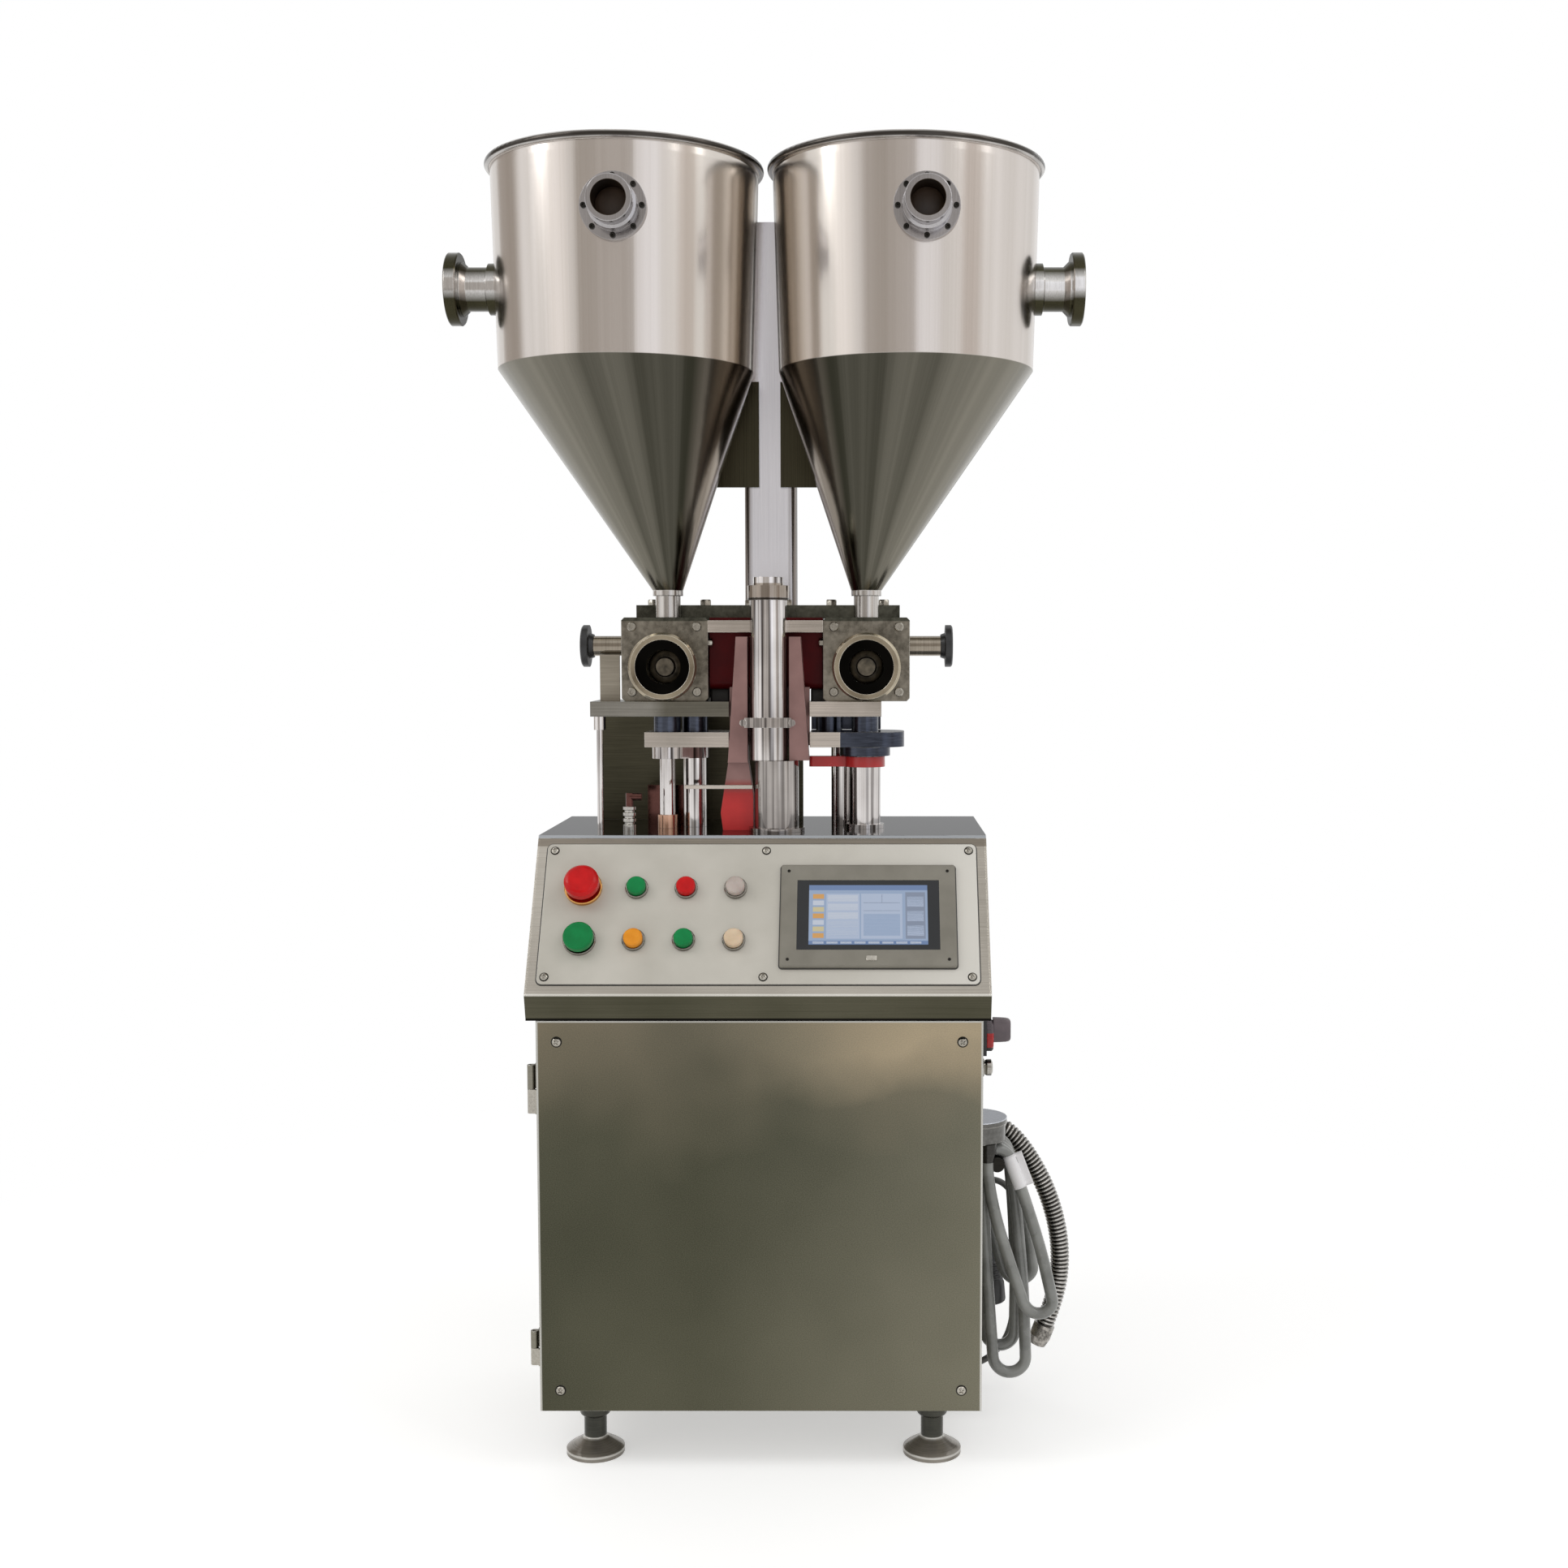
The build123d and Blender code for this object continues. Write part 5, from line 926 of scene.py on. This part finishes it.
# Bead of the rim: greyer, with a dark band, both painted reflection.
on_rim = past(worked("MULTIPLY", depth_in_wall, -1.0), 0.0012)
bead_dark_reflection = worked("MULTIPLY", past(height, bead_low_z), short_of(height, bead_high_z))
bead_reflection = tint_between(polish_and_sheen, (150, 146, 142), (196, 192, 188))
upper_tint = tint_between(on_rim, barrel_tint, tint_between(bead_dark_reflection, bead_reflection, (66, 62, 58)))
lower_tint = tint_between(above_neck, neck_tint, cone_tint)
on_barrel = stretch_range(height, crease_z - 0.0006, crease_z + 0.0006)
shell_tint = tint_between(on_barrel, lower_tint, upper_tint)
dull_tint = tint_between(polish_and_sheen, (158, 153, 146), (190, 185, 178))
rim = edge_of(where, 0.0016)
# Edges lightened as wear and as painted highlight.
outer_tint = tint_between(worked("MULTIPLY", rim["Mask"], 0.3), shell_tint, edge_wear_and_highlight_tint)
smooth = value_between(polish_and_sheen, 0.14, 0.24)
feed_node(shader, Metallic=1.0, Roughness=value_between(inside, smooth, 0.4),
          Base_Color=tint_between(inside, outer_tint, dull_tint), Normal=dented(fine, rim["Normal"], 0.02))
dress(hopper, "hopper_left", "hopper_right")

# Hopper ports: turned nickel steel flanges and pipes, welded to the barrels, painted dark brown inside as
# shade. The side ones are darker above and below as painted shade, and the front ones are closed by a brown
# disc where they meet the barrel, which stands for the shade inside them.
side_port_z = 1.534
side_bore_r = 0.025
front_bore_r = 0.0215
bore_gap = 0.0006
barrel_front_y = -0.12
front_ring_y = -0.100
disc_seat_y = -0.147
front_bores = joined("MAXIMUM", *(in_bore("XZ", (x, front_port_z), front_bore_r + bore_gap) for x in port_x))
bore_shade = joined("MAXIMUM", in_bore("YZ", (hopper_y, side_port_z), side_bore_r + bore_gap),
               joined("MULTIPLY", front_bores, within("Y", high=barrel_front_y)))
# Painted shade: the side pipes and flanges darker above and below, and the bores dark brown inside.
port_patches = [
    (ramp("Z", 0.006, 0.020, middle=side_port_z), (42, 40, 28), (72, 69, 52)),
    (within("Y", high=front_ring_y), (148, 145, 145), (184, 181, 182)),
    (bore_shade, (40, 32, 24), (78, 66, 52))]
dress(metal("port_steel", (186, 182, 178), (230, 228, 226), 0.1, 0.18, waves=(900, 900, 12), cloud=12.0,
            edge=0.0012, edge_wear_and_highlight=0.75, patches=port_patches), "hopper_ports")
disc_profile = [(0, 0.004), (0.0150, 0.0034), (0.0205, 0.002), (front_bore_r, 0.001), (front_bore_r, 0),
                (0, 0)]
disc_spots = [(x, disc_seat_y, front_port_z) for x in port_x]
# The disc's brown stands for the shade inside the front ports.
shade_disc_rubber = moulded("shade_disc_rubber", (58, 44, 34), (92, 74, 60), 0.5, grain=400.0, dent=0.1)
grid_piece("port_shade_discs", set_out(lathe(disc_profile), disc_spots, out_of_cover), shade_disc_rubber)

# Hopper post: a square steel post behind the heads, darker brown along its edges as painted shade, with two
# ear plates that carry the cones, dark as painted shade. Its rear half stands on a cast foot that is screwed
# to the console's back.
post_half_w = 0.036
post_back_y = 0.200
table_top_z = 0.811
foot_drop = 0.085
shelf_t = 0.012
foot_toe = 0.008
# Painted shade along the post's edges.
post_edge_shade = (ramp("X", post_half_w - 0.012, post_half_w - 0.004, middle=0.0),
              (84, 76, 70), (146, 138, 132))
post_steel = metal("post_steel", (222, 223, 233), (246, 246, 252), 0.16, 0.28, waves=(900, 900, 6),
                   cloud=3.0, patches=[post_edge_shade])
dress(post_steel, "hopper_post")


def post_foot():
    """Wedge under the post: its outline in Y and Z, carried across in X with rounded ends."""
    low_z = table_top_z - foot_drop
    outline = np.array([(back_face_y, table_top_z), (post_back_y, table_top_z),
                        (post_back_y, table_top_z - shelf_t), (back_face_y + foot_toe, low_z),
                        (back_face_y, low_z)])
    middle = outline.mean(axis=0)
    ends = [(-1.0, 0.0), (-1.0, 0.94), (-0.97, 1.0), (0.97, 1.0), (1.0, 0.94), (1.0, 0.0)]
    return np.stack([np.column_stack([np.full(5, across * post_half_w), middle + (outline - middle) * share])
                     for across, share in ends])


grid_piece("post_foot", post_foot()[None], post_steel)
# Ear plates dark as painted shade.
dress(metal("ear_steel_in_shade", (48, 46, 35), (78, 74, 59), 0.22, 0.34, waves=(900, 900, 6)), "hopper_brackets")

# Power cable: three-core grey flex from the entry box's gland, hung over the bar in four uneven loops,
# with its plug hanging behind them.
cable_d = 0.016
bar_x = 0.311
bar_z = 0.360
wrap_r = 0.0186
loop_step = 0.020
first_y = -0.058
climb_bow = 0.004


def beside(corner, other, gap):
    """Point on the run from a corner to another point, as far from the corner as the bend's points are."""
    run = np.subtract(other, corner)
    return tuple(np.add(corner, run * gap / np.linalg.norm(run)))


def power_route():
    """Points of the cable: each loop drops from the bar, turns at its bottom and climbs one step back."""
    eighth = math.pi / 8
    corners = [-7 * eighth, -5 * eighth, -3 * eighth, -eighth]
    bottoms = [(0.367, 0.179, 0.020, -0.006), (0.330, 0.092, 0.022, -0.003), (0.318, 0.120, 0.020, -0.0025),
               (0.345, 0.205, 0.020, -0.009)]
    points = [(0.297, first_y, 0.367), (0.297, first_y, 0.347)]
    tail = [(0.294, 0.028, 0.312), (0.298, 0.048, 0.268), (0.305, 0.066, 0.236), (0.307, 0.068, 0.210)]
    for turn, (x, z, r, bow) in enumerate(bottoms):
        y = first_y + turn * loop_step
        last_x, _, last_z = points[-1]
        down = [(last_x + (x - r - last_x) * t + bow * share, y, last_z + (z - last_z) * t)
                for t, share in ((0.36, 1.0), (0.72, 0.7))]
        out = r / math.cos(eighth)
        bend = [(x + out * math.cos(a), y, z + out * math.sin(a)) for a in corners]
        top_x = bar_x + wrap_r
        climb = [(x + r + (top_x - x - r) * t + climb_bow, y + loop_step * rise, z + (bar_z - z) * t)
                 for t, rise in ((0.36, 0.0), (0.72, 0.5))]
        over = wrap_r / math.cos(eighth)
        wrap = [(bar_x - over * math.cos(a), y + loop_step, bar_z - over * math.sin(a)) for a in corners]
        bend_gap = 2 * out * math.sin(eighth)
        wrap_gap = 2 * over * math.sin(eighth)
        if turn > 0:
            points.append(beside(points[-1], down[0], wrap_gap))
        points += [*down, beside(bend[0], down[1], bend_gap), *bend, beside(bend[3], climb[0], bend_gap)]
        points += [*climb, beside(wrap[0], climb[1], wrap_gap), *wrap]
    return [*points, beside(points[-1], tail[0], wrap_gap), *tail]


def route_spline(name, points, steps):
    """Curve of one smooth open spline with the route's points as its control points."""
    line = bpy.data.curves.new(name, "CURVE")
    line.dimensions = "3D"
    line.resolution_u = steps
    spline = line.splines.new("NURBS")
    spline.points.add(len(points) - 1)
    spline.points.foreach_set("co", np.column_stack([points, np.ones(len(points))]).ravel())
    spline.order_u = 3
    spline.use_endpoint_u = True
    return line


def cord_piece(name, points, diameter, material, node):
    """Round cord along the route."""
    line = route_spline(name, points, 10)
    line.bevel_depth = diameter / 2
    line.bevel_resolution = 5
    line.use_fill_caps = True
    line.materials.append(material)
    piece = placed(name, line)
    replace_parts(piece, node)
    return piece


cable_rubber = moulded("cable_rubber", (112, 113, 109), (152, 153, 149), 0.28, grain=500.0, dent=0.08,
                       coat=0.35)
power_points = power_route()
power_cable = cord_piece("power_flex", power_points, cable_d, cable_rubber, "power_cable")


# Plug on the power cable: a black body with grip rings, moulded on to the cable's end, and a shroud round
# three brass pins.
def unit(way):
    """Direction of length one."""
    return way / np.linalg.norm(way)


plug_end = np.array(power_points[-1])
plug_way = unit(plug_end - np.array(power_points[-2]))
plug_across = unit(np.cross((0, 1, 0), plug_way))
plug_other = np.cross(plug_way, plug_across)
pin_circle_r = 0.0095
grip_z = np.linspace(0.020, 0.048, 29)
grip_r = 0.0178 + 0.0009 * np.sin((grip_z - 0.020) * 2 * np.pi / 0.007)
plug_rows = [(0, 0), (0.0100, 0), (0.0130, 0.016), (0.0165, 0.018), *zip(grip_r, grip_z), (0.0185, 0.052),
             (0.0196, 0.054), (0.0200, 0.078), (0.0194, 0.080), (0.0172, 0.080), (0.0170, 0.058), (0, 0.058)]
plug_grid = set_out(lathe(plug_rows), [plug_end], plug_way, plug_across)
plug_body = grid_piece("plug_body", plug_grid, black_plastic)
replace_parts(plug_body, "power_plug")
pin_rows = [(0, 0.057), (0.0026, 0.057), (0.0026, 0.0765), (0.0018, 0.078), (0, 0.078)]
pin_spots = [plug_end + pin_circle_r * (math.cos(a) * plug_across + math.sin(a) * plug_other)
             for a in np.radians([90, 210, 330])]
brass = metal("pin_brass", (168, 138, 78), (204, 176, 112), 0.12, 0.24, waves=(400, 400, 400))
pin_grid = set_out(lathe(pin_rows, 24), pin_spots, plug_way, plug_across)
plug_pins = grid_piece("plug_pins", pin_grid, brass)

# Cable tag: a blank white paper label folded round the first loop below the bar, its two ends stuck
# together.
tag_l = 0.046
tag_flag = 0.010
tag_gap = 0.0006
tag_top_z = 0.370
tag_foot_z = 0.322
tag_curl = 0.0015
tag_mouth = 0.12


def mesh_points(mesh):
    """Places of a mesh's points."""
    found = np.zeros(len(mesh.vertices) * 3)
    mesh.vertices.foreach_get("co", found)
    return found.reshape(-1, 3)


def route_line(points):
    """Points read along the route's smooth spline."""
    line = route_spline("route", points, 24)
    mesh = bpy.data.meshes.new_from_object(bpy.data.objects.new("route", line))
    found = mesh_points(mesh)
    bpy.data.meshes.remove(mesh)
    bpy.data.curves.remove(line)
    return found


cable_line = route_line(power_points)
climbing = (cable_line[:, 1] > first_y + 0.3 * loop_step) & (cable_line[:, 1] < first_y + 1.01 * loop_step)
first_climb = cable_line[climbing & (cable_line[:, 0] > bar_x + 0.010)]
tag_top, tag_foot = (first_climb[np.argmin(np.abs(first_climb[:, 2] - z))] for z in (tag_top_z, tag_foot_z))
tag_way = unit(tag_foot - tag_top)
tag_out = unit(np.cross((0, -1, 0), tag_way))
tag_front = np.cross(tag_way, tag_out)


def tag_sheet():
    """Sheet along the cable: from the flag's free edge in, round the cable and out to the free edge."""
    turn = np.linspace(tag_mouth, 2 * np.pi - tag_mouth, 40)
    r = cable_d / 2 + tag_gap
    flag = np.linspace(r + tag_flag, r, 6)
    leaf = np.full(6, tag_gap)
    out = np.concatenate([flag, r * np.cos(turn), flag[::-1]])
    front = np.concatenate([leaf, r * np.sin(turn), -leaf])
    down = np.linspace(0, tag_l, 12)
    curl = tag_curl * np.sin(down / tag_l * np.pi)
    return (tag_top + down[:, None, None] * tag_way + out[None, :, None] * tag_out
            + (front[None, :, None] + curl[:, None, None]) * tag_front)


tag_paper, shader, where = new_finish("tag_paper")
fibre = speckle(where, 700.0, 4.0)
feed_node(shader, Base_Color=tint_between(fibre, (238, 236, 237), (250, 249, 250)),
          Roughness=stretch_range(fibre, 0.3, 0.7, 0.6, 0.75))
tag = grid_piece("cable_tag", tag_sheet()[None], tag_paper, closed=False, sharp=60)
solid = tag.modifiers.new("paper", "SOLIDIFY")
solid.thickness = 0.0004
solid.offset = 0

# Thin cable: a dark rubber lead that hangs in one slack loop, from the wall gland to the gland under the
# floor.
thin_d = 0.009
thin_y = 0.090
thin_route = [(x, thin_y, z) for x, z in (
    (0.300, 0.300), (0.316, 0.300), (0.331, 0.294), (0.342, 0.281), (0.347, 0.250), (0.344, 0.198),
    (0.347, 0.144), (0.345, 0.098), (0.335, 0.066), (0.316, 0.043), (0.293, 0.030), (0.271, 0.029),
    (0.254, 0.039), (0.245, 0.055), (0.245, 0.071))]
dark_rubber = moulded("dark_rubber", (74, 74, 71), (102, 102, 98), 0.4, grain=500.0, dent=0.1)
thin_cable = cord_piece("thin_lead", thin_route, thin_d, dark_rubber, "thin_cable")

# Conduit: a ribbed metal hose that leaves the wall, bows out past the loops and ends in a dark clamp
# fitting. Its grooves are painted dark as shade.
conduit_y = 0.048
conduit_r = 0.0132
conduit_root_r = 0.0113
rib_pitch = 0.0056
conduit_route = [(x, conduit_y, z) for x, z in (
    (0.296, 0.391), (0.318, 0.391), (0.342, 0.373), (0.366, 0.340), (0.388, 0.297), (0.403, 0.247),
    (0.408, 0.197), (0.402, 0.148), (0.386, 0.105))]


def ribbed_hose(line, columns=40):
    """Grid round the line: the radius swells to the rib's once every pitch, as a flattened wave."""
    run = np.concatenate([[0], np.cumsum(np.linalg.norm(np.diff(line, axis=0), axis=1))])
    at = np.linspace(0, run[-1], int(run[-1] / rib_pitch * 12))
    middle = np.stack([np.interp(at, run, line[:, axis]) for axis in range(3)], 1)
    ahead = np.gradient(middle, axis=0)
    ahead /= np.linalg.norm(ahead, axis=1)[:, None]
    side = np.array([0.0, 1.0, 0.0])
    other = np.cross(ahead, side)
    wave = np.clip(0.62 + 0.85 * np.sin(2 * np.pi * at / rib_pitch), 0, 1)
    r = (conduit_root_r + (conduit_r - conduit_root_r) * wave)[:, None, None]
    angle = full_turn(columns)[None, :, None]
    tube = middle[:, None] + r * (side * np.cos(angle) + other[:, None] * np.sin(angle))
    return np.concatenate([middle[:1, None] + 0 * tube[:1], tube, middle[-1:, None] + 0 * tube[-1:]])


conduit_line = route_line(conduit_route)
hose_metal, shader, where = new_finish("hose_metal")
rib = shader_node("Attribute", {}, where.id_data, attribute_name="rib").outputs["Fac"]
grain = grain_of(where, (400, 400, 400), (140, 137, 132), (206, 203, 199), 0.1, 0.2, 30.0)
# Painted shade in the grooves, driven by the rib height.
feed_node(shader, Base_Color=tint_between(rib, (40, 38, 35), grain["Color"]), Metallic=1.0,
          Roughness=grain["Roughness"])
hose = grid_piece("ribbed_conduit", ribbed_hose(conduit_line)[None], hose_metal, sharp=60)
nearest = np.linalg.norm(mesh_points(hose.data)[:, None] - conduit_line[None], axis=2).min(axis=1)
swell = np.clip((nearest - conduit_root_r) / (conduit_r - conduit_root_r), 0, 1)
hose.data.attributes.new("rib", "FLOAT", "POINT").data.foreach_set("value", swell)
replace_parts(hose, "conduit")
dress(metal("clamp_metal", (40, 38, 35), (198, 193, 186), 0.2, 0.34, waves=(300, 300, 300), cloud=160.0,
            dent=0.3), "conduit_end")

# Studio: a pale floor in a white room, two soft lamps in front and above, and upright boards round the
# machine that give the polished steel its bright and shaded bands.
floor_half = 12.0
floor_glow = 0.45
room_light = 0.60
board_low = 0.7
board_high = 3.4
lamp_aim = np.array([0.0, 0.0, 0.9])
white = (1, 1, 1, 1)


def to_the_eye(tree):
    """One for the rays that show things: straight, mirrored or through glass."""
    path = shader_node("LightPath", {}, tree)
    shown = path.outputs["Is Camera Ray"]
    for ray in ("Is Glossy Ray", "Is Transmission Ray"):
        shown = worked("MAXIMUM", shown, path.outputs[ray])
    return shown


def stage_sheet(name, corners, material):
    """Flat sheet of the studio."""
    mesh = bpy.data.meshes.new(name)
    mesh.from_pydata(corners, [], [(0, 1, 2, 3)])
    mesh.materials.append(material)
    sheet = bpy.data.objects.new(name, mesh)
    bpy.context.scene.collection.objects.link(sheet)
    return sheet


floor_white, shader, where = new_finish("floor_white")
tree = floor_white.node_tree
tree.nodes.remove(shader)
away = length_of(where)
lit_floor = shader_node("BsdfDiffuse", {"Color": (0.84, 0.84, 0.83, 1)}, tree).outputs[0]
shown_glow = stretch_range(to_the_eye(tree), 0, 1, 0, floor_glow)
glow = shader_node("Emission", {"Color": white, "Strength": shown_glow}).outputs[0]
near_floor = shader_node("AddShader", {0: lit_floor, 1: glow}).outputs[0]
far_floor = shader_node("Emission", {"Color": white, "Strength": 1.0}, tree).outputs[0]
fade = shader_node("MixShader", {0: stretch_range(away, 0.5, 1.8), 1: near_floor, 2: far_floor}).outputs[0]
feed_node(tree.nodes["Material Output"], Surface=fade)
floor_corners = [(-1, -1), (1, -1), (1, 1), (-1, 1)]
stage_sheet("floor", [(floor_half * x, floor_half * y, 0) for x, y in floor_corners], floor_white)

boards = [("front_board", -13, 3.6, 3.2, (0.58, 0.55, 0.52)),
          ("left_soft_board", -54, 3.2, 1.0, (1.16, 1.14, 1.13)),
          ("left_board", -110, 3.0, 1.6, (0.46, 0.42, 0.38)),
          ("right_soft_board", 22, 3.2, 1.2, (1.20, 1.22, 1.28)),
          ("right_strip", 58, 3.1, 0.9, (0.74, 0.69, 0.65)),
          ("back_board", 180, 2.8, 1.8, (0.46, 0.46, 0.46))]
for name, azimuth, reach, width, shade in boards:
    turn = math.radians(azimuth)
    way = np.array([math.sin(turn), -math.cos(turn)])
    across = np.array([math.cos(turn), math.sin(turn)]) * width / 2
    left, right = way * reach - across, way * reach + across
    board_shade, shader, _ = new_finish(name)
    feed_node(shader, Base_Color=(0, 0, 0, 1), Roughness=1.0, Specular_IOR_Level=0.0,
              Emission_Color=(*shade, 1), Emission_Strength=1.0)
    corners = [(*left, board_low), (*right, board_low), (*right, board_high), (*left, board_high)]
    stage_sheet(name, corners, board_shade).visible_camera = False

world = bpy.data.worlds.new("white_room")
world.use_nodes = True
feed_node(world.node_tree.nodes["Background"], Color=white,
          Strength=stretch_range(to_the_eye(world.node_tree), 0, 1, room_light, 1.0))
bpy.context.scene.world = world

lamps = [("key_lamp", (-3.2, -1.8, 3.4), 2.0, 55.0), ("fill_lamp", (2.8, -1.6, 3.5), 2.0, 30.0)]
for name, spot, size, power in lamps:
    lamp = bpy.data.lights.new(name, "AREA")
    lamp.size = size
    lamp.energy = power
    stand = bpy.data.objects.new(name, lamp)
    stand.location = spot
    aim = lamp_aim - np.array(spot)
    tip = math.acos(-aim[2] / np.linalg.norm(aim))
    stand.rotation_euler = (tip, 0, math.atan2(aim[1], aim[0]) - math.pi / 2)
    bpy.context.scene.collection.objects.link(stand)

camera = bpy.data.cameras.new("photo_camera")
camera.lens = 42.0
camera.sensor_width = 36.0
camera.shift_x = -0.0497
camera_stand = bpy.data.objects.new("photo_camera", camera)
camera_stand.location = (0.129, -2.4645, 1.051)
camera_stand.rotation_euler = (math.radians(90 - 4.2), 0, 0)
bpy.context.scene.collection.objects.link(camera_stand)
bpy.context.scene.camera = camera_stand
bpy.context.scene.view_settings.view_transform = "Standard"
